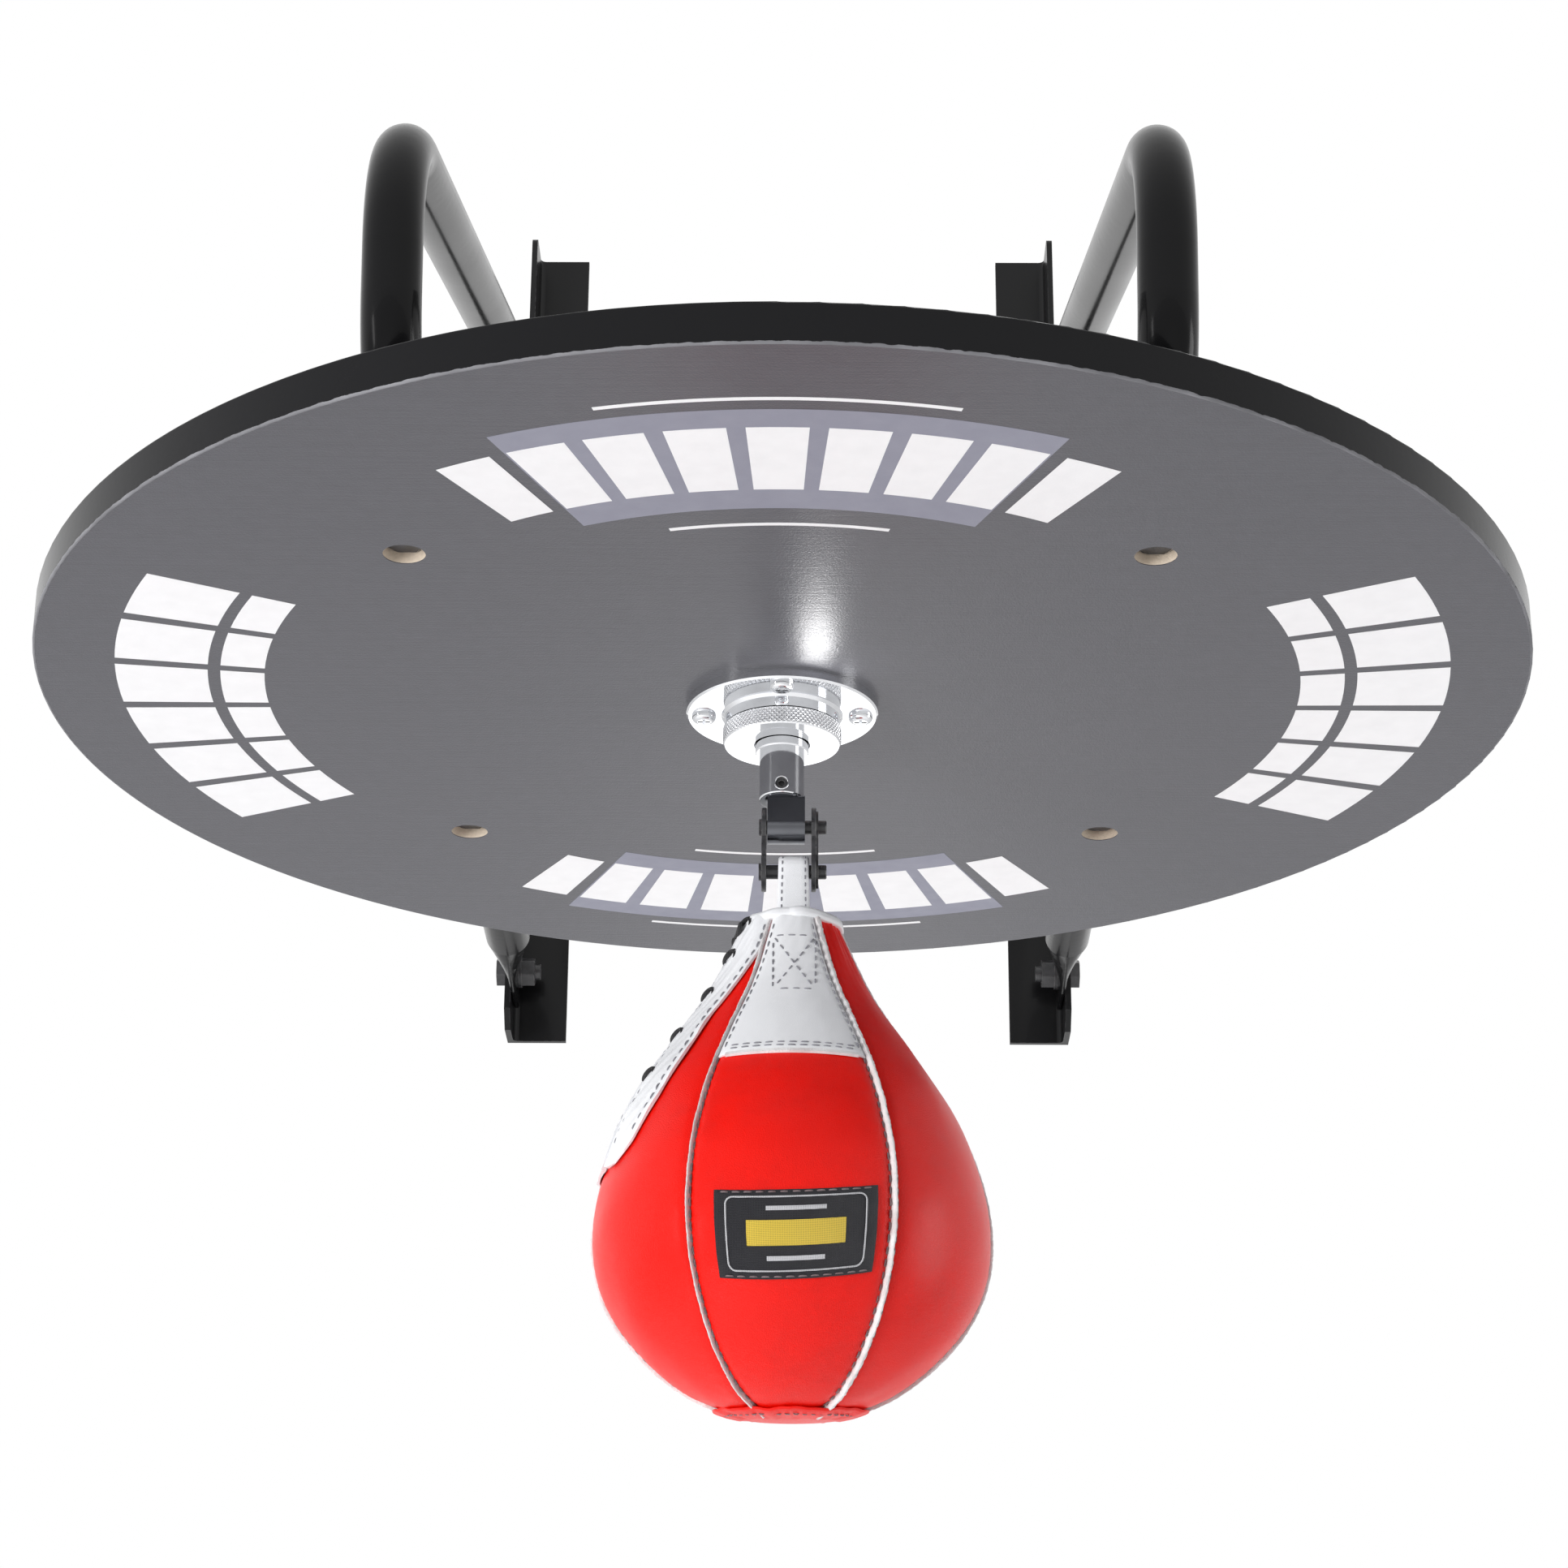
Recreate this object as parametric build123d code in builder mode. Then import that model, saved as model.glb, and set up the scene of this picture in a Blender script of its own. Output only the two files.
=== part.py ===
"""Speed bag platform: a round rebound board on two bent side tubes and two wall rails, with a
ball-bearing swivel, a chain link and a laced leather speed bag.

Millimetres. +X to the right when facing the wall, +Y into the wall, +Z up. The origin is the centre
of the four wall bolts, on the wall plane.
"""

import math
import os

from build123d import *

os.makedirs("parts", exist_ok=True)

# ---- driving dimensions ------------------------------------------------------------------------

# Board
BOARD_D = 600.0
BOARD_T = 16.0
EDGE_BAND_T = 1.0
BOARD_Y = -420.0            # board centre, out from the wall
BOARD_Z = -224.0            # underside of the board
BOARD_TOP = BOARD_Z + BOARD_T

# Wall rails, cold-formed angle
RAIL_LENGTH = 460.0
RAIL_LEG = 30.0
RAIL_T = 3.0
RAIL_OUTER_X = 144.0
RAIL_FLANGE_X = RAIL_OUTER_X - RAIL_T      # inner face of the flange that carries the tube
RAIL_FOOT_CHAMFER = 9.0
WALL_HOLE_D = 9.0
WALL_HOLE_X = 128.5
WALL_HOLE_Z = 160.0

# Side tubes
TUBE_D = 22.0
TUBE_WALL = 1.5
TUBE_X = RAIL_FLANGE_X - TUBE_WALL
TUBE_BEND_R = 50.0
FLAT_T = 2 * TUBE_WALL
FLAT_H = 33.0               # a flattened 22 mm tube keeps its girth
CAVITY_END_T = 0.8          # the bore pinches to this where the flat begins
FLAT_TO_END = 11.0          # bolt centre to the tube's end
LOWER_FLAT = 16.0           # bolt centre to where the taper starts
UPPER_FLAT = 22.0
TAPER = 40.0
TUBE_END_GAP = 7.0          # the flat's end is cut parallel to the wall, clear of the rail's heel
RAIL_BOLT_Y = -16.0
LOWER_LEG_Z = BOARD_TOP + TUBE_D / 2
UPPER_BOLT_Z = BOARD_Z + 350.0
FRONT_FOOT = (BOARD_Y - 206.0, LOWER_LEG_Z)
FRONT_TOP = (BOARD_Y - 226.5, BOARD_Z + 129.0)

# M8 hardware
M8_D = 8.0
M8_CLEAR_D = 8.6
M8_HEX = 13.0
M8_HEAD_T = 5.3
M8_NUT_T = 6.5
M8_WASHER_D = 16.0
M8_WASHER_T = 1.6
NUT_BORE_R = M8_D / 2 + 0.1
BOARD_BOLT_X = TUBE_X
BOARD_BOLT_Y = 140.0
COUNTERBORE_D = 16.0
HEAD_RECESS = 4.0
BOLT_TIP = 3.0

# Swivel, heights below the underside of the board
FLANGE_R = 39.0
FLANGE_T = 4.5
HUB_R = 23.5
HUB_Z = -9.7
SPIGOT_R = 20.0
COLLAR_R = 24.0
COLLAR_Z = -17.3
COLLAR_FLOOR_Z = -14.3
COLLAR_HOLE_R = 11.4
FLANGE_SCREW_R = 31.8
FLANGE_SCREW_D = 4.8
FLANGE_SCREW_HEAD_R = 4.9
FLANGE_SCREW_REACH = 11.5
BEARING_BORE_R = 6.0
BEARING_R = 14.0
BEARING_W = 8.0
BEARING_TOP = -6.3
BALL_R = 2.38
BALL_GROOVE_R = 2.45
BALL_COUNT = 8
BOSS_R = 10.8
BOSS_Z = -21.0
SLEEVE_R = 9.0
SLEEVE_Z = -41.6
STUB_R = 5.0
STUB_Z = -40.0
GRUB_Z = -37.2              # grub screw axis
GRUB_D = 5.0

# Strap and chain link
STRAP_X = 1.9
STRAP_W = 15.0
STRAP_T = 2.4
STRAP_R = 6.8
UPPER_PIN_Z = -53.2
LINK_PITCH = 19.05
LOWER_PIN_Z = UPPER_PIN_Z - LINK_PITCH
PIN_R = 2.86
BUSH_CLEARANCE = 0.07
LINK_X = 3.0
LINK_GAP = 18.0
PLATE_T = 1.9
PLATE_R = 8.0
CLIP_T = 0.9
PIN_HEAD = 1.1
PIN_TAIL = 4.2

# Bag, heights below the underside of the board
BAG_X = 5.0
LEATHER_T = 2.2
PANELS = 6
WELT_DEG = 1.4
WELT_PROUD = 0.9
LOOP_W = 13.0
LOOP_T = 3.0
BAG_NECK_Z = -96.0
COLLAR_TOP_Z = -88.5
BAG_BOTTOM_Z = -296.0
# radius of the bag's outside at heights from the neck down
BAG_PROFILE = [
    (17.5, BAG_NECK_Z), (30.6, -125.0), (47.0, -150.0), (62.5, -175.0), (72.5, -200.0),
    (76.2, -222.0), (74.2, -241.0), (66.5, -258.0), (54.7, -272.0), (38.1, -284.5), (20.0, -292.0),
]

# ---- helpers -----------------------------------------------------------------------------------

SPIN_AXIS = Axis((0, BOARD_Y, BOARD_Z), (0, 0, 1))
SPIN_PLANE = Plane(origin=(0, BOARD_Y, BOARD_Z), x_dir=(1, 0, 0), z_dir=(0, -1, 0))
BAG_AXIS = Axis((BAG_X, BOARD_Y, BOARD_Z), (0, 0, 1))
BAG_PLANE = Plane(origin=(BAG_X, BOARD_Y, BOARD_Z), x_dir=(1, 0, 0), z_dir=(0, -1, 0))
SIDES = {"left": -1, "right": 1}


def save(part, name):
    """Label a finished piece and write it to its own file."""
    part.label = name
    export_step(part, f"parts/{name}.step")


def turned(outline, axis=SPIN_AXIS, plane=SPIN_PLANE, arc=360.0):
    """A solid of revolution from a closed outline of (radius, height) points."""
    with BuildPart() as body:
        with BuildSketch(plane):
            with BuildLine():
                Polyline(*outline, close=True)
            make_face()
        revolve(axis=axis, revolution_arc=arc)
    return body.part


def bar(a, b, radius):
    """A round bar between two points."""
    start, end = Vector(*a), Vector(*b)
    with BuildPart() as body:
        with BuildSketch(Plane(origin=start, z_dir=end - start)):
            Circle(radius)
        extrude(amount=(end - start).length)
    return body.part


def hex_prism(at, direction, height, bore=0.0):
    """A hexagon across M8 flats, with an optional round bore; its corners are broken."""
    plane = Plane(origin=at, z_dir=direction)
    corner_r = M8_HEX / math.sqrt(3)
    with BuildPart() as body:
        with BuildSketch(plane):
            RegularPolygon(radius=corner_r, side_count=6)
        extrude(amount=height)
        with BuildSketch(plane):
            Circle(corner_r - 0.15)
        extrude(amount=height, mode=Mode.INTERSECT)
        chamfer(body.edges().filter_by(GeomType.CIRCLE).sort_by(plane_sort(plane))[-1], 0.4)
        if bore:
            with BuildSketch(plane):
                Circle(bore)
            extrude(amount=height, mode=Mode.SUBTRACT)
    return body.part


def plane_sort(plane):
    """The axis through a plane's origin along its normal, for sorting."""
    return Axis(plane.origin, plane.z_dir)


def washer(at, direction, outer_r, inner_r, height):
    """A flat round washer."""
    with BuildPart() as body:
        with BuildSketch(Plane(origin=at, z_dir=direction)):
            Circle(outer_r)
            Circle(inner_r, mode=Mode.SUBTRACT)
        extrude(amount=height)
    return body.part


def group(parts):
    """Separate solids kept together as one node."""
    return Compound(children=list(parts))


# ---- wall rails --------------------------------------------------------------------------------

for side, s in SIDES.items():
    with BuildPart() as rail:
        with BuildSketch(Plane.XY.offset(-RAIL_LENGTH / 2)):
            with BuildLine():
                Polyline(
                    (s * RAIL_OUTER_X, 0),
                    (s * (RAIL_OUTER_X - RAIL_LEG), 0),
                    (s * (RAIL_OUTER_X - RAIL_LEG), -RAIL_T),
                    (s * RAIL_FLANGE_X, -RAIL_T),
                    (s * RAIL_FLANGE_X, -RAIL_LEG),
                    (s * RAIL_OUTER_X, -RAIL_LEG),
                    close=True,
                )
            make_face()
        extrude(amount=RAIL_LENGTH)
        upright = rail.edges().filter_by(Axis.Z)
        heel = upright.sort_by_distance((s * RAIL_FLANGE_X, -RAIL_T, 0))[0]
        fillet(heel, 3.0)
        front = rail.edges().filter_by(Axis.X).group_by(Axis.Y)[0]
        chamfer(front.sort_by(Axis.Z)[0], RAIL_FOOT_CHAMFER)
        fillet(rail.edges().filter_by(Axis.X).group_by(Axis.Y)[0].sort_by(Axis.Z)[-1], 4.0)
        with Locations(
            Plane(origin=(s * WALL_HOLE_X, 0, WALL_HOLE_Z), z_dir=(0, 1, 0)),
            Plane(origin=(s * WALL_HOLE_X, 0, -WALL_HOLE_Z), z_dir=(0, 1, 0)),
        ):
            Hole(WALL_HOLE_D / 2, depth=2 * RAIL_T)
        with Locations(
            Plane(origin=(s * RAIL_OUTER_X, RAIL_BOLT_Y, LOWER_LEG_Z), z_dir=(s, 0, 0)),
            Plane(origin=(s * RAIL_OUTER_X, RAIL_BOLT_Y, UPPER_BOLT_Z), z_dir=(s, 0, 0)),
        ):
            Hole(M8_CLEAR_D / 2, depth=2 * RAIL_T)
    save(rail.part, f"rail_{side}")

# ---- side tubes --------------------------------------------------------------------------------


def tube_section(half_thick, half_tall):
    """An outline of four curves: round when both halves are equal, a slot when it is thin."""
    bow = half_thick * math.sqrt(0.5) if half_thick == half_tall else half_thick
    rise = half_tall * math.sqrt(0.5) if half_thick == half_tall else half_tall - half_thick
    corners = [(bow, -rise), (bow, rise), (-bow, rise), (-bow, -rise)]
    crowns = [(half_thick, 0), (0, half_tall), (-half_thick, 0), (0, -half_tall)]
    for i, crown in enumerate(crowns):
        start, end = corners[i], corners[(i + 1) % 4]
        if abs(start[0] - end[0]) < 1e-9 and abs(start[0] - crown[0]) < 1e-9:
            Line(start, end)
        else:
            ThreePointArc(start, crown, end)


def tapered_bore(start, outer_r):
    """The bore inside the taper, which pinches from round to a thin slit."""
    turned_plane = Plane(origin=start.origin, x_dir=start.y_dir, z_dir=start.z_dir)
    with BuildPart() as bore:
        with BuildSketch(turned_plane):
            Circle(outer_r - TUBE_WALL)
        with BuildSketch(turned_plane.offset(TAPER)):
            Ellipse(FLAT_H / 2 - TUBE_WALL, CAVITY_END_T / 2)
        loft()
    return bore.part


def flattened_end(round_end, direction, flat):
    """The tube's crimped end: a taper from round to a flat tongue that holds one bolt."""
    start = Plane(origin=round_end, x_dir=(1, 0, 0), z_dir=direction)
    pinch = start.offset(TAPER)
    bore = tapered_bore(start, TUBE_D / 2)
    across = Plane(origin=pinch.origin + direction * flat, z_dir=(1, 0, 0))
    with BuildPart() as end:
        for plane, thick, tall in (
            (start, TUBE_D / 2, TUBE_D / 2),
            (pinch, FLAT_T / 2, FLAT_H / 2),
        ):
            with BuildSketch(plane):
                with BuildLine():
                    tube_section(thick, tall)
                make_face()
        loft()
        add(bore, mode=Mode.SUBTRACT)
        with BuildSketch(pinch):
            with BuildLine():
                tube_section(FLAT_T / 2, FLAT_H / 2)
            make_face()
        extrude(amount=flat + FLAT_TO_END)
        with Locations(across.offset(FLAT_T)):
            Hole(M8_CLEAR_D / 2, depth=2 * FLAT_T)
    return end.part


for side, s in SIDES.items():
    x = s * TUBE_X
    foot = Vector(x, *FRONT_FOOT)
    top = Vector(x, *FRONT_TOP)
    lower_bolt = Vector(x, RAIL_BOLT_Y, LOWER_LEG_Z)
    upper_bolt = Vector(x, RAIL_BOLT_Y, UPPER_BOLT_Z)
    back = Vector(0, 1, 0)
    rise = (upper_bolt - top).normalized()
    lower_round = lower_bolt - back * (LOWER_FLAT + TAPER)
    upper_round = upper_bolt - rise * (UPPER_FLAT + TAPER)
    ends = [
        flattened_end(lower_round, back, LOWER_FLAT),
        flattened_end(upper_round, rise, UPPER_FLAT),
    ]
    with BuildPart() as tube:
        with BuildLine() as route:
            FilletPolyline(lower_round, foot, top, upper_round, radius=TUBE_BEND_R)
        with BuildSketch(Plane(origin=lower_round, x_dir=(1, 0, 0), z_dir=(0, -1, 0))):
            Circle(TUBE_D / 2)
            Circle(TUBE_D / 2 - TUBE_WALL, mode=Mode.SUBTRACT)
        sweep(path=route.line)
        add(ends)
        with Locations(
            (x, BOARD_Y - BOARD_BOLT_Y, LOWER_LEG_Z), (x, BOARD_Y + BOARD_BOLT_Y, LOWER_LEG_Z)
        ):
            Cylinder(M8_CLEAR_D / 2, 2 * TUBE_D, mode=Mode.SUBTRACT)
        with Locations((x, 0, 0)):
            Box(2 * TUBE_D, 2 * TUBE_END_GAP, 2 * RAIL_LENGTH, mode=Mode.SUBTRACT)
    save(tube.part, f"side_tube_{side}")

# ---- bolts that hold the tubes to the rails ----------------------------------------------------

rail_bolts, rail_washers, rail_nuts = [], [], []
flat_inner_x = RAIL_FLANGE_X - FLAT_T
for s in SIDES.values():
    for z in (LOWER_LEG_Z, UPPER_BOLT_Z):
        outer = (s * RAIL_OUTER_X, RAIL_BOLT_Y, z)
        inner = (s * flat_inner_x, RAIL_BOLT_Y, z)
        nut_at = (s * (flat_inner_x - M8_WASHER_T), RAIL_BOLT_Y, z)
        tip = (s * (flat_inner_x - M8_WASHER_T - M8_NUT_T - BOLT_TIP), RAIL_BOLT_Y, z)
        rail_bolts.append(hex_prism(outer, (s, 0, 0), M8_HEAD_T) + bar(outer, tip, M8_D / 2))
        rail_washers.append(washer(inner, (-s, 0, 0), M8_WASHER_D / 2, M8_CLEAR_D / 2, M8_WASHER_T))
        rail_nuts.append(hex_prism(nut_at, (-s, 0, 0), M8_NUT_T, NUT_BORE_R))
save(group(rail_bolts), "rail_bolts")
save(group(rail_washers), "rail_washers")
save(group(rail_nuts), "rail_nuts")

# ---- board -------------------------------------------------------------------------------------

with BuildPart() as board:
    with BuildSketch(Plane(origin=(0, BOARD_Y, BOARD_Z))):
        Circle(BOARD_D / 2 - EDGE_BAND_T)
    extrude(amount=BOARD_T)
    with Locations((0, BOARD_Y, BOARD_Z)):
        with GridLocations(2 * BOARD_BOLT_X, 2 * BOARD_BOLT_Y, 2, 2):
            Cylinder(M8_CLEAR_D / 2, 3 * BOARD_T, mode=Mode.SUBTRACT)
            Cylinder(COUNTERBORE_D / 2, 2 * (HEAD_RECESS + M8_HEAD_T + M8_WASHER_T), mode=Mode.SUBTRACT)
save(board.part, "board")

with BuildPart() as edge_band:
    with BuildSketch(Plane(origin=(0, BOARD_Y, BOARD_Z))):
        Circle(BOARD_D / 2)
        Circle(BOARD_D / 2 - EDGE_BAND_T, mode=Mode.SUBTRACT)
    extrude(amount=BOARD_T)
    outer_rims = edge_band.edges().filter_by(GeomType.CIRCLE).sort_by(SortBy.RADIUS)[-2:]
    fillet(outer_rims, 0.8)
save(edge_band.part, "edge_band")

# ---- bolts that hold the board to the tubes ----------------------------------------------------

board_bolts, counterbore_washers, board_washers, board_nuts = [], [], [], []
head_seat = BOARD_Z + HEAD_RECESS + M8_HEAD_T
tube_top = BOARD_TOP + TUBE_D
for sx in (-1, 1):
    for sy in (-1, 1):
        x, y = sx * BOARD_BOLT_X, BOARD_Y + sy * BOARD_BOLT_Y
        nut_z = tube_top + M8_WASHER_T
        shank = bar((x, y, head_seat), (x, y, nut_z + M8_NUT_T + BOLT_TIP), M8_D / 2)
        board_bolts.append(hex_prism((x, y, head_seat), (0, 0, -1), M8_HEAD_T) + shank)
        counterbore_washers.append(
            washer((x, y, head_seat), (0, 0, 1), COUNTERBORE_D / 2 - 0.2, M8_CLEAR_D / 2, M8_WASHER_T)
        )
        board_washers.append(
            washer((x, y, tube_top), (0, 0, 1), M8_WASHER_D / 2, M8_CLEAR_D / 2, M8_WASHER_T)
        )
        board_nuts.append(hex_prism((x, y, nut_z), (0, 0, 1), M8_NUT_T, NUT_BORE_R))
save(group(board_bolts), "board_bolts")
save(group(counterbore_washers), "counterbore_washers")
save(group(board_washers), "board_washers")
save(group(board_nuts), "board_nuts")

# ---- swivel housing ----------------------------------------------------------------------------

SEAT_R = BEARING_R
THROAT_R = 11.5             # clears the spindle's circlip, above the bearing
LIP_R = HUB_R + 1.2

swivel_flange = turned([
    (THROAT_R, 0), (FLANGE_R, 0), (FLANGE_R, -FLANGE_T + 0.8), (FLANGE_R - 0.8, -FLANGE_T),
    (LIP_R, -FLANGE_T), (HUB_R, -FLANGE_T - 1.2), (HUB_R, HUB_Z), (SPIGOT_R, HUB_Z),
    (SPIGOT_R, COLLAR_FLOOR_Z), (SEAT_R, COLLAR_FLOOR_Z), (SEAT_R, BEARING_TOP),
    (THROAT_R, BEARING_TOP),
])
with BuildPart() as flange:
    add(swivel_flange)
    with Locations((0, BOARD_Y, BOARD_Z)):
        with PolarLocations(FLANGE_SCREW_R, 4):
            Cylinder(FLANGE_SCREW_D / 2 + 0.2, 3 * FLANGE_T, mode=Mode.SUBTRACT)
save(flange.part, "swivel_flange")


def flange_screw(angle):
    """A pan-head wood screw with a cross recess, driven up into the board."""
    x = FLANGE_SCREW_R * math.cos(angle)
    y = BOARD_Y + FLANGE_SCREW_R * math.sin(angle)
    head = Plane(origin=(x, y, BOARD_Z - FLANGE_T), z_dir=(0, 0, -1))
    with BuildPart() as screw:
        with BuildSketch(head):
            Circle(FLANGE_SCREW_HEAD_R)
        extrude(amount=2.6)
        dome = screw.edges().filter_by(GeomType.CIRCLE).sort_by(Axis.Z)[0]
        fillet(dome, 2.2)
        with BuildSketch(head.offset(2.6)):
            Rectangle(5.0, 1.1)
            Rectangle(1.1, 5.0)
        extrude(amount=-1.8, mode=Mode.SUBTRACT)
        with BuildSketch(head):
            Circle(FLANGE_SCREW_D / 2)
        extrude(amount=-FLANGE_T)
    return screw.part


save(group(flange_screw(i * math.pi / 2) for i in range(4)), "flange_screws")

knurled_collar = turned([
    (SPIGOT_R, HUB_Z), (COLLAR_R - 0.6, HUB_Z), (COLLAR_R, HUB_Z - 0.6), (COLLAR_R, COLLAR_Z + 0.8),
    (COLLAR_R - 0.8, COLLAR_Z), (COLLAR_HOLE_R, COLLAR_Z), (COLLAR_HOLE_R, COLLAR_FLOOR_Z),
    (SPIGOT_R, COLLAR_FLOOR_Z),
])
save(knurled_collar, "knurled_collar")

# ---- bearing -----------------------------------------------------------------------------------

BEARING_BOTTOM = BEARING_TOP - BEARING_W
BALL_Z = (BEARING_TOP + BEARING_BOTTOM) / 2
BALL_PITCH_R = (BEARING_BORE_R + BEARING_R) / 2
INNER_LAND_R = BALL_PITCH_R - 1.8
OUTER_LAND_R = BALL_PITCH_R + 1.8


def race(inner_r, outer_r):
    """A bearing ring with the ball groove turned out of it."""
    ring = turned([
        (inner_r, BEARING_TOP), (outer_r, BEARING_TOP), (outer_r, BEARING_BOTTOM), (inner_r, BEARING_BOTTOM)
    ])
    with BuildPart() as body:
        add(ring)
        with BuildSketch(SPIN_PLANE):
            with Locations((BALL_PITCH_R, BALL_Z)):
                Circle(BALL_GROOVE_R)
        revolve(axis=SPIN_AXIS, mode=Mode.SUBTRACT)
    return body.part


save(race(OUTER_LAND_R, BEARING_R), "bearing_outer_race")
save(race(BEARING_BORE_R, INNER_LAND_R), "bearing_inner_race")

with BuildPart() as balls:
    with Locations((0, BOARD_Y, BOARD_Z + BALL_Z)):
        with PolarLocations(BALL_PITCH_R, BALL_COUNT):
            Sphere(BALL_R)
save(balls.part, "bearing_balls")

CAGE_R = (BALL_PITCH_R - 0.6, BALL_PITCH_R + 0.6)
CAGE_HALF = 3.1
cage_ring = turned([
    (CAGE_R[0], BALL_Z + CAGE_HALF), (CAGE_R[1], BALL_Z + CAGE_HALF),
    (CAGE_R[1], BALL_Z - CAGE_HALF), (CAGE_R[0], BALL_Z - CAGE_HALF),
])
with BuildPart() as cage:
    add(cage_ring)
    with Locations((0, BOARD_Y, BOARD_Z + BALL_Z)):
        with PolarLocations(BALL_PITCH_R, BALL_COUNT):
            Cylinder(BALL_R + 0.08, 4.0, rotation=(0, 90, 0), mode=Mode.SUBTRACT)
save(cage.part, "bearing_cage")

shields = [
    turned([
        (INNER_LAND_R + 0.35, z), (OUTER_LAND_R, z), (OUTER_LAND_R, z + 0.4), (INNER_LAND_R + 0.35, z + 0.4)
    ])
    for z in (BEARING_BOTTOM + 0.2, BEARING_TOP - 0.6)
]
save(group(shields), "bearing_shields")

# ---- spindle -----------------------------------------------------------------------------------

CIRCLIP_Z = BEARING_TOP + 0.1
CIRCLIP_T = 1.0
GROOVE_R = BEARING_BORE_R - 0.5
SHOULDER_R = 7.6

spindle = turned([
    (0, -1.6), (BEARING_BORE_R - 0.6, -1.6), (BEARING_BORE_R, -2.2), (BEARING_BORE_R, CIRCLIP_Z + CIRCLIP_T),
    (GROOVE_R, CIRCLIP_Z + CIRCLIP_T), (GROOVE_R, CIRCLIP_Z), (BEARING_BORE_R, CIRCLIP_Z),
    (BEARING_BORE_R, BEARING_BOTTOM), (SHOULDER_R, BEARING_BOTTOM), (SHOULDER_R, BEARING_BOTTOM - 0.7),
    (BOSS_R, BEARING_BOTTOM - 0.7), (BOSS_R, BOSS_Z + 0.5), (BOSS_R - 0.5, BOSS_Z), (STUB_R, BOSS_Z),
    (STUB_R, STUB_Z), (0, STUB_Z),
])
save(spindle, "spindle")

with BuildPart() as circlip:
    with BuildSketch(Plane(origin=(0, BOARD_Y, BOARD_Z + CIRCLIP_Z))):
        Circle(BEARING_BORE_R + 2.2)
        Circle(GROOVE_R, mode=Mode.SUBTRACT)
        with Locations((0, -(BEARING_BORE_R + 2))):
            Rectangle(3.4, 8.0, mode=Mode.SUBTRACT)
    extrude(amount=CIRCLIP_T)
save(circlip.part, "circlip")

sleeve_body = turned([
    (STUB_R, BOSS_Z), (SLEEVE_R, BOSS_Z), (SLEEVE_R, SLEEVE_Z + 0.8), (SLEEVE_R - 0.8, SLEEVE_Z),
    (0, SLEEVE_Z), (0, STUB_Z), (STUB_R, STUB_Z),
])
grub_plane = Plane(origin=(0, BOARD_Y - SLEEVE_R, BOARD_Z + GRUB_Z), z_dir=(0, -1, 0))
with BuildPart() as sleeve:
    add(sleeve_body)
    with BuildSketch(grub_plane):
        Circle(GRUB_D / 2)
    extrude(amount=-(SLEEVE_R - STUB_R), mode=Mode.SUBTRACT)
save(sleeve.part, "spindle_sleeve")

with BuildPart() as grub_screw:
    with BuildSketch(grub_plane.offset(-1.0)):
        Circle(GRUB_D / 2)
    extrude(amount=-(SLEEVE_R - STUB_R - 1.1))
    with BuildSketch(grub_plane.offset(-1.0)):
        RegularPolygon(radius=1.45, side_count=6)
    extrude(amount=-1.8, mode=Mode.SUBTRACT)
save(grub_screw.part, "grub_screw")

# Folded strap: a closed loop of flat bar, welded under the sleeve, with its fold round the pin.
side_plane = Plane(
    origin=(STRAP_X - STRAP_W / 2, BOARD_Y, BOARD_Z), x_dir=(0, 1, 0), z_dir=(1, 0, 0)
)


def strap_outline(radius, top):
    """A U that closes with a straight top: the strap's outer or inner outline."""
    Polyline((-radius, UPPER_PIN_Z), (-radius, top), (radius, top), (radius, UPPER_PIN_Z))
    ThreePointArc((radius, UPPER_PIN_Z), (0, UPPER_PIN_Z - radius), (-radius, UPPER_PIN_Z))


with BuildPart() as hook_strap:
    with BuildSketch(side_plane):
        with BuildLine():
            strap_outline(STRAP_R, SLEEVE_Z)
        make_face()
        with BuildLine():
            strap_outline(STRAP_R - STRAP_T, SLEEVE_Z - STRAP_T)
        make_face(mode=Mode.SUBTRACT)
    extrude(amount=STRAP_W)
    top_edges = hook_strap.edges().filter_by(Axis.X).group_by(Axis.Z)[-1]
    fillet(top_edges, 1.2)
save(hook_strap.part, "hook_strap")

with BuildPart() as pin_bush:
    with BuildSketch(side_plane):
        with Locations((0, UPPER_PIN_Z)):
            Circle(STRAP_R - STRAP_T)
            Circle(PIN_R + BUSH_CLEARANCE, mode=Mode.SUBTRACT)
    extrude(amount=STRAP_W)
save(pin_bush.part, "pin_bush")

# ---- chain link --------------------------------------------------------------------------------


def link_plate(x_low, thickness, holes, waist):
    """A figure-eight chain plate standing across X."""
    plane = Plane(origin=(x_low, BOARD_Y, BOARD_Z), x_dir=(0, 1, 0), z_dir=(1, 0, 0))
    middle = (UPPER_PIN_Z + LOWER_PIN_Z) / 2
    with BuildPart() as plate:
        with BuildSketch(plane):
            with Locations((0, UPPER_PIN_Z), (0, LOWER_PIN_Z)):
                Circle(PLATE_R)
            with Locations((0, middle)):
                Rectangle(waist, LINK_PITCH)
            with Locations((0, UPPER_PIN_Z), (0, LOWER_PIN_Z)):
                Circle(holes, mode=Mode.SUBTRACT)
        extrude(amount=thickness)
        chamfer(plate.faces().filter_by(Axis.X).edges().filter_by(lambda e: e.length > 12), 0.25)
    return plate.part


plate_inner_left = LINK_X - LINK_GAP / 2
plate_inner_right = LINK_X + LINK_GAP / 2
save(link_plate(plate_inner_left - PLATE_T, PLATE_T, PIN_R, 11.5), "link_plate_left")
save(link_plate(plate_inner_right, PLATE_T, PIN_R, 11.5), "link_plate_right")


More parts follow.
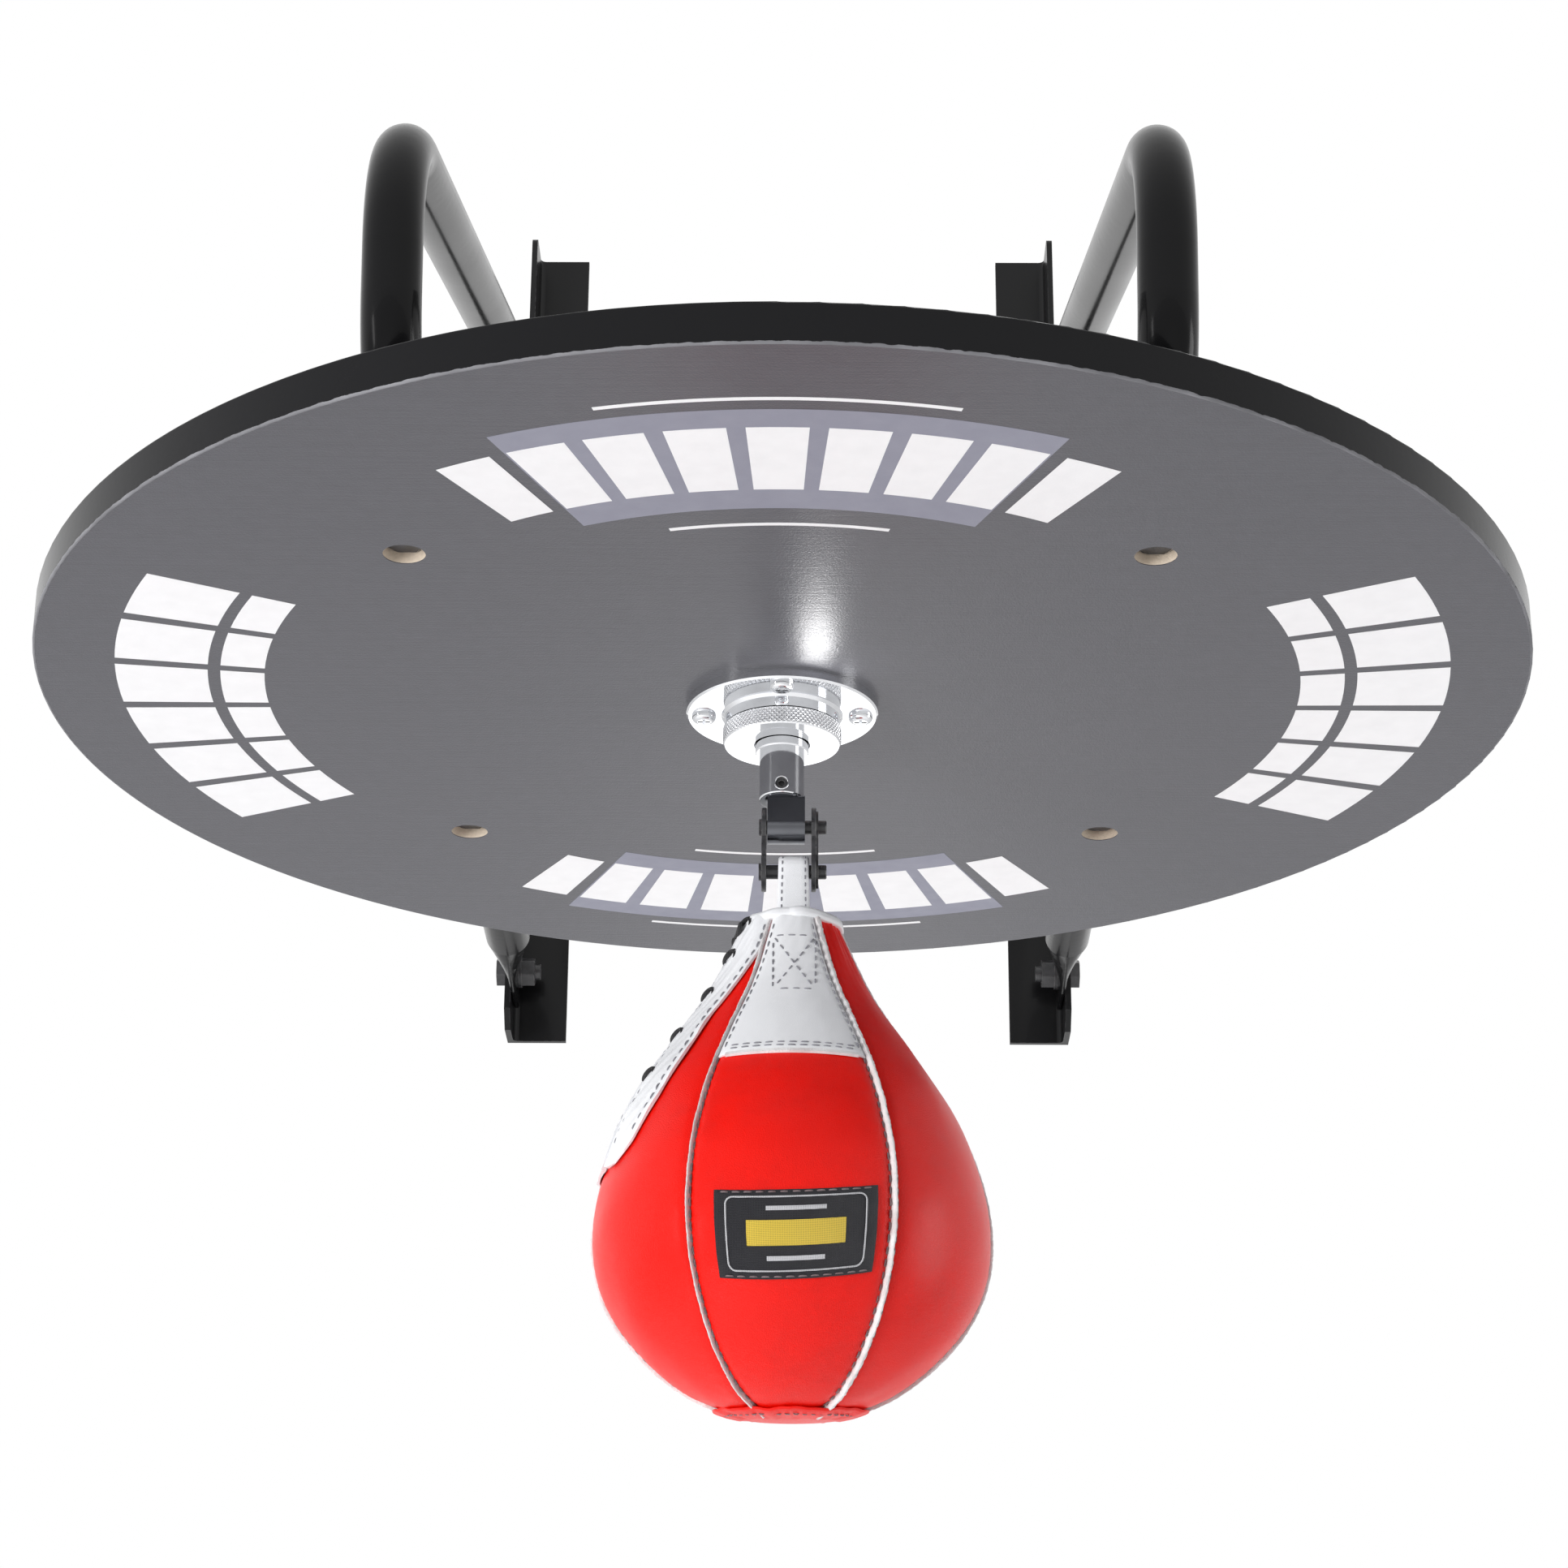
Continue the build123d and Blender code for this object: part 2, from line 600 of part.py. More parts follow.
def link_pin(z):
    """A headed link pin with a groove for the spring clip near its tail."""
    head_x = plate_inner_left - PLATE_T
    groove_x = plate_inner_right + PLATE_T
    tail_x = groove_x + PIN_TAIL
    y, height = BOARD_Y, BOARD_Z + z
    with BuildPart() as pin:
        add(bar((head_x, y, height), (tail_x, y, height), PIN_R))
        add(bar((head_x - PIN_HEAD, y, height), (head_x, y, height), PIN_R + 0.7))
        with BuildSketch(Plane(origin=(groove_x, y, height), z_dir=(1, 0, 0))):
            Circle(PIN_R + 1)
            Circle(PIN_R - 0.5, mode=Mode.SUBTRACT)
        extrude(amount=CLIP_T, mode=Mode.SUBTRACT)
        chamfer(pin.edges().filter_by(GeomType.CIRCLE).sort_by(Axis.X)[-1], 0.4)
    return pin.part


save(link_pin(UPPER_PIN_Z), "link_pin_upper")
save(link_pin(LOWER_PIN_Z), "link_pin_lower")

with BuildPart() as spring_clip:
    clip_plane = Plane(
        origin=(plate_inner_right + PLATE_T, BOARD_Y, BOARD_Z), x_dir=(0, 1, 0), z_dir=(1, 0, 0)
    )
    with BuildSketch(clip_plane):
        with Locations((0, UPPER_PIN_Z), (0, LOWER_PIN_Z)):
            Circle(6.6)
        with Locations((0, (UPPER_PIN_Z + LOWER_PIN_Z) / 2)):
            Rectangle(11.4, LINK_PITCH)
            Rectangle(5.6, LINK_PITCH - 6, mode=Mode.SUBTRACT)
        with Locations((0, UPPER_PIN_Z), (0, LOWER_PIN_Z)):
            Circle(PIN_R - 0.45, mode=Mode.SUBTRACT)
        with Locations((0, LOWER_PIN_Z - 5)):
            Rectangle(3.6, 8, mode=Mode.SUBTRACT)
    extrude(amount=CLIP_T)
save(spring_clip.part, "spring_clip")

# ---- bag ---------------------------------------------------------------------------------------


def inset(profile, depth):
    """The profile moved inwards (or outwards, if negative) by the same depth all along."""
    moved = []
    for i, (r, z) in enumerate(profile):
        r0, z0 = profile[max(i - 1, 0)]
        r1, z1 = profile[min(i + 1, len(profile) - 1)]
        length = math.hypot(r1 - r0, z1 - z0)
        moved.append((r + (z1 - z0) / length * depth, z - (r1 - r0) / length * depth))
    return moved


def bag_shell(outer, inner, start_deg, arc):
    """A slice of leather between two profile curves, turned part of the way round the bag."""
    heading = math.radians(start_deg)
    plane = Plane(
        origin=(BAG_X, BOARD_Y, BOARD_Z),
        x_dir=(math.sin(heading), -math.cos(heading), 0),
        z_dir=(-math.cos(heading), -math.sin(heading), 0),
    )
    with BuildPart() as slice_:
        with BuildSketch(plane):
            with BuildLine():
                Spline(*outer)
                Line(outer[-1], inner[-1])
                Spline(*inner)
                Line(inner[0], outer[0])
            make_face()
        revolve(axis=BAG_AXIS, revolution_arc=arc)
    return slice_.part


panel_inner = inset(BAG_PROFILE, LEATHER_T)
welt_outer = inset(BAG_PROFILE, -WELT_PROUD)
panel_arc = 360 / PANELS
for i in range(PANELS):
    seam = -panel_arc / 2 + i * panel_arc
    panel = bag_shell(BAG_PROFILE, panel_inner, seam + WELT_DEG / 2, panel_arc - WELT_DEG)
    save(panel, f"bag_panel_{i + 1}")
save(
    group(
        bag_shell(welt_outer, panel_inner, -panel_arc / 2 + i * panel_arc - WELT_DEG / 2, WELT_DEG)
        for i in range(PANELS)
    ),
    "bag_welts",
)


def patch(heights, start_deg, arc, thickness):
    """A thin piece of leather or fabric that lies on the bag between two heights."""
    lie = 0.15
    cover = bag_shell(
        inset(BAG_PROFILE, -lie - thickness), inset(BAG_PROFILE, -lie), start_deg, arc
    )
    top, bottom = heights
    slab = Location((BAG_X, BOARD_Y, BOARD_Z + (top + bottom) / 2))
    with BuildPart() as piece:
        add(cover)
        with Locations(slab):
            Box(BOARD_D, BOARD_D, top - bottom, mode=Mode.INTERSECT)
    return piece.part


COLLAR_BASE_Z = BAG_NECK_Z + 1.0
save(patch((COLLAR_BASE_Z, -167), -27.5, 55, 0.9), "yoke_patch")
save(patch((COLLAR_BASE_Z, -202), -80, 46, 1.2), "lacing_strip")
save(patch((-224.5, -252.5), -21, 46, 0.8), "woven_label")

LACE_R = 1.1
LACE_HALF = 7.0
LACE_DEG = -62.0
laces = []
for r, z in BAG_PROFILE[1:4]:
    heading = math.radians(LACE_DEG)
    reach = r + 1.2 + LACE_R + 1.2
    centre = Vector(BAG_X + reach * math.sin(heading), BOARD_Y - reach * math.cos(heading), BOARD_Z + z)
    across = Vector(math.cos(heading), math.sin(heading), 0)
    laces.append(bar(tuple(centre - across * LACE_HALF), tuple(centre + across * LACE_HALF), LACE_R))
save(group(laces), "laces")

# The collar sits on the sloping top ends of the panels.
neck_inner = panel_inner[0]
neck_outer = inset(BAG_PROFILE, -1.6)[0]
bag_collar = turned(
    [(13.0, COLLAR_TOP_Z), (18.0, COLLAR_TOP_Z), (19.6, COLLAR_BASE_Z + 1), neck_outer, neck_inner,
     (13.0, neck_inner[1])],
    BAG_AXIS, BAG_PLANE,
)
save(bag_collar, "bag_collar")

bottom_patch = turned(
    [(0, BAG_BOTTOM_Z), (22.0, BAG_BOTTOM_Z + 1.2), (25.0, -293.0), (24.6, -292.3), (20.0, -293.2),
     (0, -293.2)],
    BAG_AXIS, BAG_PLANE,
)
save(bottom_patch, "bottom_patch")

# The hanging loop is a folded leather strap: over the lower pin and down inside the collar.
LOOP_INNER_R = PIN_R + 0.45
LOOP_OUTER_R = LOOP_INNER_R + LOOP_T
loop_plane = Plane(
    origin=(BAG_X - LOOP_W / 2, BOARD_Y, BOARD_Z), x_dir=(0, 1, 0), z_dir=(1, 0, 0)
)
LOOP_FOOT_Z = -104.0
LOOP_FOOT_Y = 10.0


def loop_outline(radius, foot_y):
    """An arch over the pin with legs that spread towards the collar."""
    Line((-foot_y, LOOP_FOOT_Z), (-radius, LOWER_PIN_Z))
    ThreePointArc((-radius, LOWER_PIN_Z), (0, LOWER_PIN_Z + radius), (radius, LOWER_PIN_Z))
    Polyline((radius, LOWER_PIN_Z), (foot_y, LOOP_FOOT_Z), (-foot_y, LOOP_FOOT_Z))


with BuildPart() as bag_loop:
    with BuildSketch(loop_plane):
        with BuildLine():
            loop_outline(LOOP_OUTER_R, LOOP_FOOT_Y)
        make_face()
        with BuildLine():
            loop_outline(LOOP_INNER_R, LOOP_FOOT_Y - LOOP_T)
        make_face(mode=Mode.SUBTRACT)
    extrude(amount=LOOP_W)
save(bag_loop.part, "bag_loop")

# The rubber bladder fills the leather case just inside its lining; its valve is at the top.
bladder_outer = inset(BAG_PROFILE[1:], LEATHER_T + 0.4)
bladder_inner = inset(BAG_PROFILE[1:], LEATHER_T + 1.6)
with BuildPart() as bladder:
    with BuildSketch(BAG_PLANE):
        with BuildLine():
            crown = (0, bladder_outer[0][1] + 6)
            floor = (0, bladder_outer[-1][1] - 1)
            Polyline(crown, bladder_outer[0])
            Spline(*bladder_outer)
            Polyline(bladder_outer[-1], floor, (0, floor[1] + 1.2), bladder_inner[-1])
            Spline(*bladder_inner)
            Polyline(bladder_inner[0], (0, crown[1] - 1.2), crown)
        make_face()
    revolve(axis=BAG_AXIS)
save(bladder.part, "bladder")

valve = turned(
    [(0, crown[1] + 8), (3, crown[1] + 8), (4, crown[1]), (0, crown[1])], BAG_AXIS, BAG_PLANE
)
save(valve, "bladder_valve")
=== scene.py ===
"""Looks of the speed bag platform: finishes, sewn leather bag, printed board, studio and camera."""
import logging
import math
from dataclasses import dataclass, field
from enum import Enum
from typing import Callable, Iterable, Sequence

import bpy
import numpy as np
from mathutils import Matrix, Vector


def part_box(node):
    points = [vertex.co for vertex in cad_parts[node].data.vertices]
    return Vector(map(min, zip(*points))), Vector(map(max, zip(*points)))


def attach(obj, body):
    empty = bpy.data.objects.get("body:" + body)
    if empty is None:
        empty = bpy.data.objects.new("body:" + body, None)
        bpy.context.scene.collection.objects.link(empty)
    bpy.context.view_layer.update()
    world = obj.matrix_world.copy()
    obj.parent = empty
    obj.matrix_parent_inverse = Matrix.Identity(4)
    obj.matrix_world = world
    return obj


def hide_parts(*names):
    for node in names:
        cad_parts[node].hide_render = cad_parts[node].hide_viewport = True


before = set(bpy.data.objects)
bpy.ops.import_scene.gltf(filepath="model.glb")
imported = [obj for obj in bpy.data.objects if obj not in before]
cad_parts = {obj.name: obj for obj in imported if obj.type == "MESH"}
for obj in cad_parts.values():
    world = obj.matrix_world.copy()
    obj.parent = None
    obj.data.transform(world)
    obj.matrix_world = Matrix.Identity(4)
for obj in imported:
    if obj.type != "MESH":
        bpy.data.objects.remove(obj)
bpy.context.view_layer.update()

LOG = logging.getLogger("speed_bag_platform")
MM = 0.001

Vec3 = tuple[float, float, float]
Colour = tuple[float, float, float]


class Body(str, Enum):
    """The rigid bodies of the frame that pieces ride on."""

    PLATFORM = "platform"
    SPINDLE = "spindle"
    BAG = "speed_bag"


# ---- places read from the frame ----------------------------------------------------------------


def middle(node: str) -> np.ndarray:
    """The centre of a node's box, in metres.

    Args:
        node: name of the CAD node.

    Returns:
        The centre as three numbers.
    """
    low, high = (np.array(corner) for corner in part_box(node))
    return (low + high) / 2


BOARD_LOW, BOARD_HIGH = (np.array(corner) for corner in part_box("board"))
BOARD_CENTRE = (BOARD_LOW + BOARD_HIGH) / 2
BOARD_UNDER = float(BOARD_LOW[2])
BAG_CENTRE = middle("bladder")


# ---- shader graphs -----------------------------------------------------------------------------


class Graph:
    """Short calls for placing and joining shader nodes in one tree."""

    def __init__(self, tree: bpy.types.NodeTree) -> None:
        """Work on a node tree.

        Args:
            tree: the material's or group's node tree.
        """
        self.tree = tree

    def node(self, kind: str, inputs: dict | None = None, **settings: object) -> bpy.types.Node:
        """Place a node.

        Args:
            kind: Blender's node type, without its ShaderNode prefix.
            inputs: socket name or index to a plain value or to another node's output.
            settings: node attributes.

        Returns:
            The new node.
        """
        made = self.tree.nodes.new("ShaderNode" + kind)
        for key, value in settings.items():
            setattr(made, key, value)
        for key, value in (inputs or {}).items():
            self.feed(made.inputs[key], value)
        return made

    def feed(self, socket: bpy.types.NodeSocket, value: object) -> None:
        """Join an output to a socket, or set the socket's plain value."""
        if isinstance(value, bpy.types.NodeSocket):
            self.tree.links.new(value, socket)
        else:
            socket.default_value = value

    def math(self, operation: str, *values: object, clamp: bool = False) -> bpy.types.NodeSocket:
        """A Math node's result.

        Args:
            operation: Blender's name for the operation.
            values: plain numbers or sockets.
            clamp: hold the result between 0 and 1.

        Returns:
            The output socket.
        """
        made = self.node("Math", operation=operation, use_clamp=clamp)
        for socket, value in zip(made.inputs, values):
            self.feed(socket, value)
        return made.outputs[0]

    def mix(self, factor: object, first: object, second: object) -> bpy.types.NodeSocket:
        """A colour blended from first to second by factor."""
        made = self.node("Mix", data_type="RGBA")
        self.feed(made.inputs["Factor"], factor)
        for name, value in (("A", first), ("B", second)):
            socket = next(s for s in made.inputs if s.name == name and s.type == "RGBA")
            self.feed(socket, (*value, 1.0) if isinstance(value, tuple) else value)
        return next(s for s in made.outputs if s.type == "RGBA")

    def place(self) -> bpy.types.NodeSocket:
        """The point's place in the object's own metres."""
        return self.node("TexCoord").outputs["Object"]

    def group(self, shared: "SharedEffect", **values: object) -> bpy.types.Node:
        """Place a shared effect with this material's own values."""
        made = self.tree.nodes.new("ShaderNodeGroup")
        made.node_tree = shared.tree
        for key, value in values.items():
            self.feed(made.inputs[key.replace("_", " ")], value)
        return made


@dataclass
class SharedEffect:
    """A shader node group used by more than one material.

    Attributes:
        name: the group's name.
        inputs: socket name to its usual value.
        outputs: the names of its number outputs.
        build: fills the group and returns the sockets for the outputs.
    """

    name: str
    inputs: dict[str, float]
    outputs: Sequence[str]
    build: Callable[[Graph, dict], Sequence[bpy.types.NodeSocket]]
    tree: bpy.types.NodeTree = field(init=False)

    def __post_init__(self) -> None:
        """Make the group's sockets and its nodes."""
        self.tree = bpy.data.node_groups.new(self.name, "ShaderNodeTree")
        for name, value in self.inputs.items():
            socket = self.tree.interface.new_socket(name, in_out="INPUT", socket_type="NodeSocketFloat")
            socket.default_value = value
        for name in self.outputs:
            self.tree.interface.new_socket(name, in_out="OUTPUT", socket_type="NodeSocketFloat")
        source = self.tree.nodes.new("NodeGroupInput")
        sink = self.tree.nodes.new("NodeGroupOutput")
        results = self.build(Graph(self.tree), {name: source.outputs[name] for name in self.inputs})
        for name, socket in zip(self.outputs, results):
            self.tree.links.new(socket, sink.inputs[name])


def build_mottle(graph: Graph, given: dict) -> Sequence[bpy.types.NodeSocket]:
    """Soft uneven patches, and the same at a fine scale."""
    where = graph.place()
    broad = graph.node("TexNoise", {"Vector": where, "Scale": given["Scale"], "Detail": 4.0})
    fine_scale = graph.math("MULTIPLY", given["Scale"], 9.0)
    fine = graph.node("TexNoise", {"Vector": where, "Scale": fine_scale, "Detail": 2.0})
    patches = graph.math("MULTIPLY_ADD", graph.math("SUBTRACT", broad.outputs[0], 0.5), given["Contrast"], 0.5,
                         clamp=True)
    return patches, fine.outputs[0]


def build_leather_grain(graph: Graph, given: dict) -> Sequence[bpy.types.NodeSocket]:
    """Pebbled leather: cells with soft valleys, on top of wandering creases."""
    where = graph.place()
    warp = graph.node("TexNoise", {"Vector": where, "Scale": 90.0, "Detail": 3.0})
    shifted = graph.node("VectorMath", {0: warp.outputs["Color"], "Scale": 0.004}, operation="SCALE")
    moved = graph.node("VectorMath", {0: where, 1: shifted.outputs[0]}, operation="ADD")
    cells = graph.node("TexVoronoi", {"Vector": moved.outputs[0], "Scale": given["Scale"]},
                       feature="DISTANCE_TO_EDGE")
    pebble = graph.math("SMOOTH_MIN", cells.outputs["Distance"], 0.22, 0.12)
    creases = graph.node("TexNoise", {"Vector": moved.outputs[0], "Scale": 55.0, "Detail": 6.0,
                                      "Roughness": 0.62})
    crease = graph.math("MULTIPLY", creases.outputs[0], given["Creases"])
    return graph.math("MULTIPLY_ADD", pebble, 3.0, crease), creases.outputs[0]


def build_edge_wear(graph: Graph, given: dict) -> Sequence[bpy.types.NodeSocket]:
    """A mask of broken-up wear along outside edges."""
    bevel = graph.node("Bevel", {"Radius": given["Width"]}, samples=4)
    normal = graph.node("NewGeometry").outputs["Normal"]
    aligned = graph.node("VectorMath", {0: bevel.outputs[0], 1: normal}, operation="DOT_PRODUCT")
    turn = graph.math("SUBTRACT", 1.0, aligned.outputs["Value"])
    breakup = graph.node("TexNoise", {"Vector": graph.place(), "Scale": 260.0, "Detail": 3.0})
    chipped = graph.math("GREATER_THAN", breakup.outputs[0], 0.5)
    amount = graph.math("MULTIPLY", graph.math("MULTIPLY", turn, given["Amount"]), chipped, clamp=True)
    return (amount,)


def build_dust(graph: Graph, given: dict) -> Sequence[bpy.types.NodeSocket]:
    """A mask of thin dust on faces that look up."""
    normal = graph.node("NewGeometry").outputs["Normal"]
    up = graph.node("SeparateXYZ", {0: normal}).outputs["Z"]
    cloud = graph.node("TexNoise", {"Vector": graph.place(), "Scale": 24.0, "Detail": 5.0})
    facing = graph.math("MULTIPLY", graph.math("MAXIMUM", up, 0.0), cloud.outputs[0])
    return (graph.math("MULTIPLY", facing, given["Amount"], clamp=True),)


def build_weave(graph: Graph, given: dict) -> Sequence[bpy.types.NodeSocket]:
    """Crossing threads: a height for bump and a mask of the gaps."""
    where = graph.place()
    warp = graph.node("TexWave", {"Vector": where, "Scale": given["Scale"]}, bands_direction="X")
    weft = graph.node("TexWave", {"Vector": where, "Scale": given["Scale"]}, bands_direction="Z")
    height = graph.math("MAXIMUM", warp.outputs["Fac"], weft.outputs["Fac"])
    return height, graph.math("LESS_THAN", height, 0.45)


# ---- finishes ----------------------------------------------------------------------------------


class Workshop:
    """Holds the shared effects and makes each finish's material once."""

    def __init__(self) -> None:
        """Build the shared effects."""
        self.mottle = SharedEffect("mottle", {"Scale": 30.0, "Contrast": 1.0}, ("Patches", "Fine"), build_mottle)
        self.grain = SharedEffect("leather_grain", {"Scale": 900.0, "Creases": 0.5}, ("Height", "Crease"),
                                  build_leather_grain)
        self.wear = SharedEffect("edge_wear", {"Width": 0.0008, "Amount": 1.0}, ("Mask",), build_edge_wear)
        self.dust = SharedEffect("dust", {"Amount": 0.3}, ("Mask",), build_dust)
        self.weave = SharedEffect("weave", {"Scale": 300.0}, ("Height", "Gaps"), build_weave)
        self.made: dict[object, bpy.types.Material] = {}

    def material(self, finish: "Finish") -> bpy.types.Material:
        """The material of a finish, made on first use.

        Args:
            finish: the finish to look up.

        Returns:
            Its material.
        """
        if finish not in self.made:
            material = bpy.data.materials.new(finish.name)
            material.use_nodes = True
            material.node_tree.nodes.clear()
            graph = Graph(material.node_tree)
            shader = graph.node("BsdfPrincipled")
            output = graph.node("OutputMaterial")
            graph.feed(output.inputs["Surface"], shader.outputs[0])
            finish.dress(self, graph, shader)
            self.made[finish] = material
        return self.made[finish]

    def coat(self, piece: bpy.types.Object, finish: "Finish") -> None:
        """Give a piece one finish all over."""
        piece.data.materials.clear()
        piece.data.materials.append(self.material(finish))


@dataclass(frozen=True)
class Finish:
    """A surface finish. Each kind dresses a Principled shader in its own way."""

    name: str
    colour: Colour
    roughness: float

    def dress(self, shop: Workshop, graph: Graph, shader: bpy.types.Node) -> None:
        """Set and join the shader's sockets.

        Args:
            shop: holds the shared effects.
            graph: the material's graph.
            shader: its Principled BSDF.
        """
        raise NotImplementedError

    def bump(self, graph: Graph, shader: bpy.types.Node, height: object, depth: float, strength: float) -> None:
        """Join a height through a Bump node to the shader's normal."""
        made = graph.node("Bump", {"Height": height, "Distance": depth, "Strength": strength})
        graph.feed(shader.inputs["Normal"], made.outputs[0])

    def vary_roughness(self, graph: Graph, shader: bpy.types.Node, mask: object, spread: float) -> None:
        """Spread the roughness about its usual value by a mask."""
        offset = graph.math("MULTIPLY_ADD", graph.math("SUBTRACT", mask, 0.5), spread, self.roughness, clamp=True)
        graph.feed(shader.inputs["Roughness"], offset)


@dataclass(frozen=True)
class Paint(Finish):
    """Sprayed gloss paint: faint orange peel, chipped edges, a little dust on top."""

    coat: float = 0.6
    worn: Colour = (0.16, 0.16, 0.17)
    wear: float = 0.8
    shine: float = 0.5

    def dress(self, shop: Workshop, graph: Graph, shader: bpy.types.Node) -> None:
        """Dress the shader as paint; see Finish.dress."""
        mottle = graph.group(shop.mottle, Scale=22.0, Contrast=1.4)
        wear = graph.group(shop.wear, Width=0.0007, Amount=self.wear)
        dust = graph.group(shop.dust, Amount=0.22)
        body = graph.mix(wear.outputs["Mask"], self.colour, self.worn)
        graph.feed(shader.inputs["Base Color"], graph.mix(dust.outputs["Mask"], body, (0.09, 0.088, 0.085)))
        self.vary_roughness(graph, shader, mottle.outputs["Patches"], 0.08)
        shader.inputs["Specular IOR Level"].default_value = self.shine
        shader.inputs["Coat Weight"].default_value = self.coat
        shader.inputs["Coat Roughness"].default_value = 0.05
        self.bump(graph, shader, mottle.outputs["Fine"], 0.0002, 0.25)


@dataclass(frozen=True)
class Plating(Finish):
    """Polished or ground metal with faint handling marks."""

    marks: float = 0.06
    turned: float = 0.0

    def dress(self, shop: Workshop, graph: Graph, shader: bpy.types.Node) -> None:
        """Dress the shader as bare or plated metal; see Finish.dress."""
        mottle = graph.group(shop.mottle, Scale=70.0, Contrast=1.8)
        shade = tuple(channel * 0.82 for channel in self.colour)
        graph.feed(shader.inputs["Base Color"], graph.mix(mottle.outputs["Patches"], self.colour, shade))
        shader.inputs["Metallic"].default_value = 1.0
        self.vary_roughness(graph, shader, mottle.outputs["Patches"], self.marks)
        self.bump(graph, shader, mottle.outputs["Fine"], 0.0001, 0.05 + self.turned)


@dataclass(frozen=True)
class BlackOxide(Finish):
    """Blackened steel: dull, slightly pitted, bright where its edges rub."""

    def dress(self, shop: Workshop, graph: Graph, shader: bpy.types.Node) -> None:
        """Dress the shader as blackened steel; see Finish.dress."""
        mottle = graph.group(shop.mottle, Scale=300.0, Contrast=2.2)
        wear = graph.group(shop.wear, Width=0.0005, Amount=1.6)
        patched = graph.mix(mottle.outputs["Patches"], self.colour, tuple(4 * c for c in self.colour))
        graph.feed(shader.inputs["Base Color"], graph.mix(wear.outputs["Mask"], patched, (0.3, 0.29, 0.28)))
        shader.inputs["Specular IOR Level"].default_value = 0.7
        self.vary_roughness(graph, shader, mottle.outputs["Patches"], 0.2)
        self.bump(graph, shader, mottle.outputs["Fine"], 0.0002, 0.5)


@dataclass(frozen=True)
class Melamine(Finish):
    """Satin melamine on MDF, with raw board showing inside the bolt holes."""

    hole_x: float = 0.1395
    hole_y: float = 0.14
    hole_r: float = 0.00815
    skin: float = 0.0003
    raw: Colour = (0.86, 0.74, 0.6)

    def dress(self, shop: Workshop, graph: Graph, shader: bpy.types.Node) -> None:
        """Dress the shader as laminated board; see Finish.dress."""
        axes = graph.node("SeparateXYZ", {0: graph.place()}).outputs
        away_x = graph.math("SUBTRACT", graph.math("ABSOLUTE", axes["X"]), self.hole_x)
        from_centre = graph.math("SUBTRACT", axes["Y"], float(BOARD_CENTRE[1]))
        away_y = graph.math("SUBTRACT", graph.math("ABSOLUTE", from_centre), self.hole_y)
        squared = graph.math("ADD", graph.math("MULTIPLY", away_x, away_x), graph.math("MULTIPLY", away_y, away_y))
        near = graph.math("LESS_THAN", squared, self.hole_r**2)
        deep = graph.math("GREATER_THAN", axes["Z"], BOARD_UNDER + self.skin)
        inside = graph.math("MULTIPLY", near, deep)
        fibre = graph.node("TexNoise", {"Vector": graph.place(), "Scale": 700.0, "Detail": 4.0})
        raw = graph.mix(fibre.outputs[0], self.raw, tuple(c * 0.7 for c in self.raw))
        streak_map = graph.node("Mapping", {"Vector": graph.place(), "Scale": (30.0, 900.0, 900.0)})
        streak = graph.node("TexNoise", {"Vector": streak_map.outputs[0], "Scale": 1.0, "Detail": 3.0})
        mottle = graph.group(shop.mottle, Scale=160.0, Contrast=1.6)
        dark = tuple(c * 0.8 for c in self.colour)
        light = tuple(c * 1.22 for c in self.colour)
        face = graph.mix(graph.math("MULTIPLY_ADD", mottle.outputs["Patches"], 0.35,
                                    graph.math("MULTIPLY", streak.outputs[0], 0.65)), dark, light)
        dust = graph.group(shop.dust, Amount=0.3)
        dusty = graph.mix(dust.outputs["Mask"], face, (0.17, 0.168, 0.16))
        graph.feed(shader.inputs["Base Color"], graph.mix(inside, dusty, raw))
        rough = graph.math("MULTIPLY_ADD", streak.outputs[0], 0.1, self.roughness - 0.05)
        graph.feed(shader.inputs["Roughness"], graph.math("MULTIPLY_ADD", inside, 0.5, rough, clamp=True))
        height = graph.math("ADD", streak.outputs[0], graph.math("MULTIPLY", mottle.outputs["Fine"], 1.5))
        self.bump(graph, shader, height, 0.00025, 0.32)


@dataclass(frozen=True)
class EdgeBand(Finish):
    """Black edging strip whose trimmed lower corner shows a thin pale line."""

    line: Colour = (0.3, 0.3, 0.32)
    line_height: float = 0.0007

    def dress(self, shop: Workshop, graph: Graph, shader: bpy.types.Node) -> None:
        """Dress the shader as edge band; see Finish.dress."""
        height = graph.node("SeparateXYZ", {0: graph.place()}).outputs["Z"]
        ragged = graph.node("TexNoise", {"Vector": graph.place(), "Scale": 220.0, "Detail": 5.0})
        limit = graph.math("MULTIPLY_ADD", graph.math("SUBTRACT", ragged.outputs[0], 0.42), 0.0014,
                           BOARD_UNDER + self.line_height)
        trimmed = graph.math("LESS_THAN", height, limit)
        mottle = graph.group(shop.mottle, Scale=40.0, Contrast=1.5)
        shade = graph.mix(mottle.outputs["Patches"], self.line, tuple(c * 0.35 for c in self.line))
        graph.feed(shader.inputs["Base Color"], graph.mix(trimmed, self.colour, shade))
        graph.feed(shader.inputs["Roughness"], graph.math("MULTIPLY_ADD", trimmed, 0.3, self.roughness))
        shader.inputs["Specular IOR Level"].default_value = 0.15
        self.bump(graph, shader, mottle.outputs["Fine"], 0.0003, 0.12)


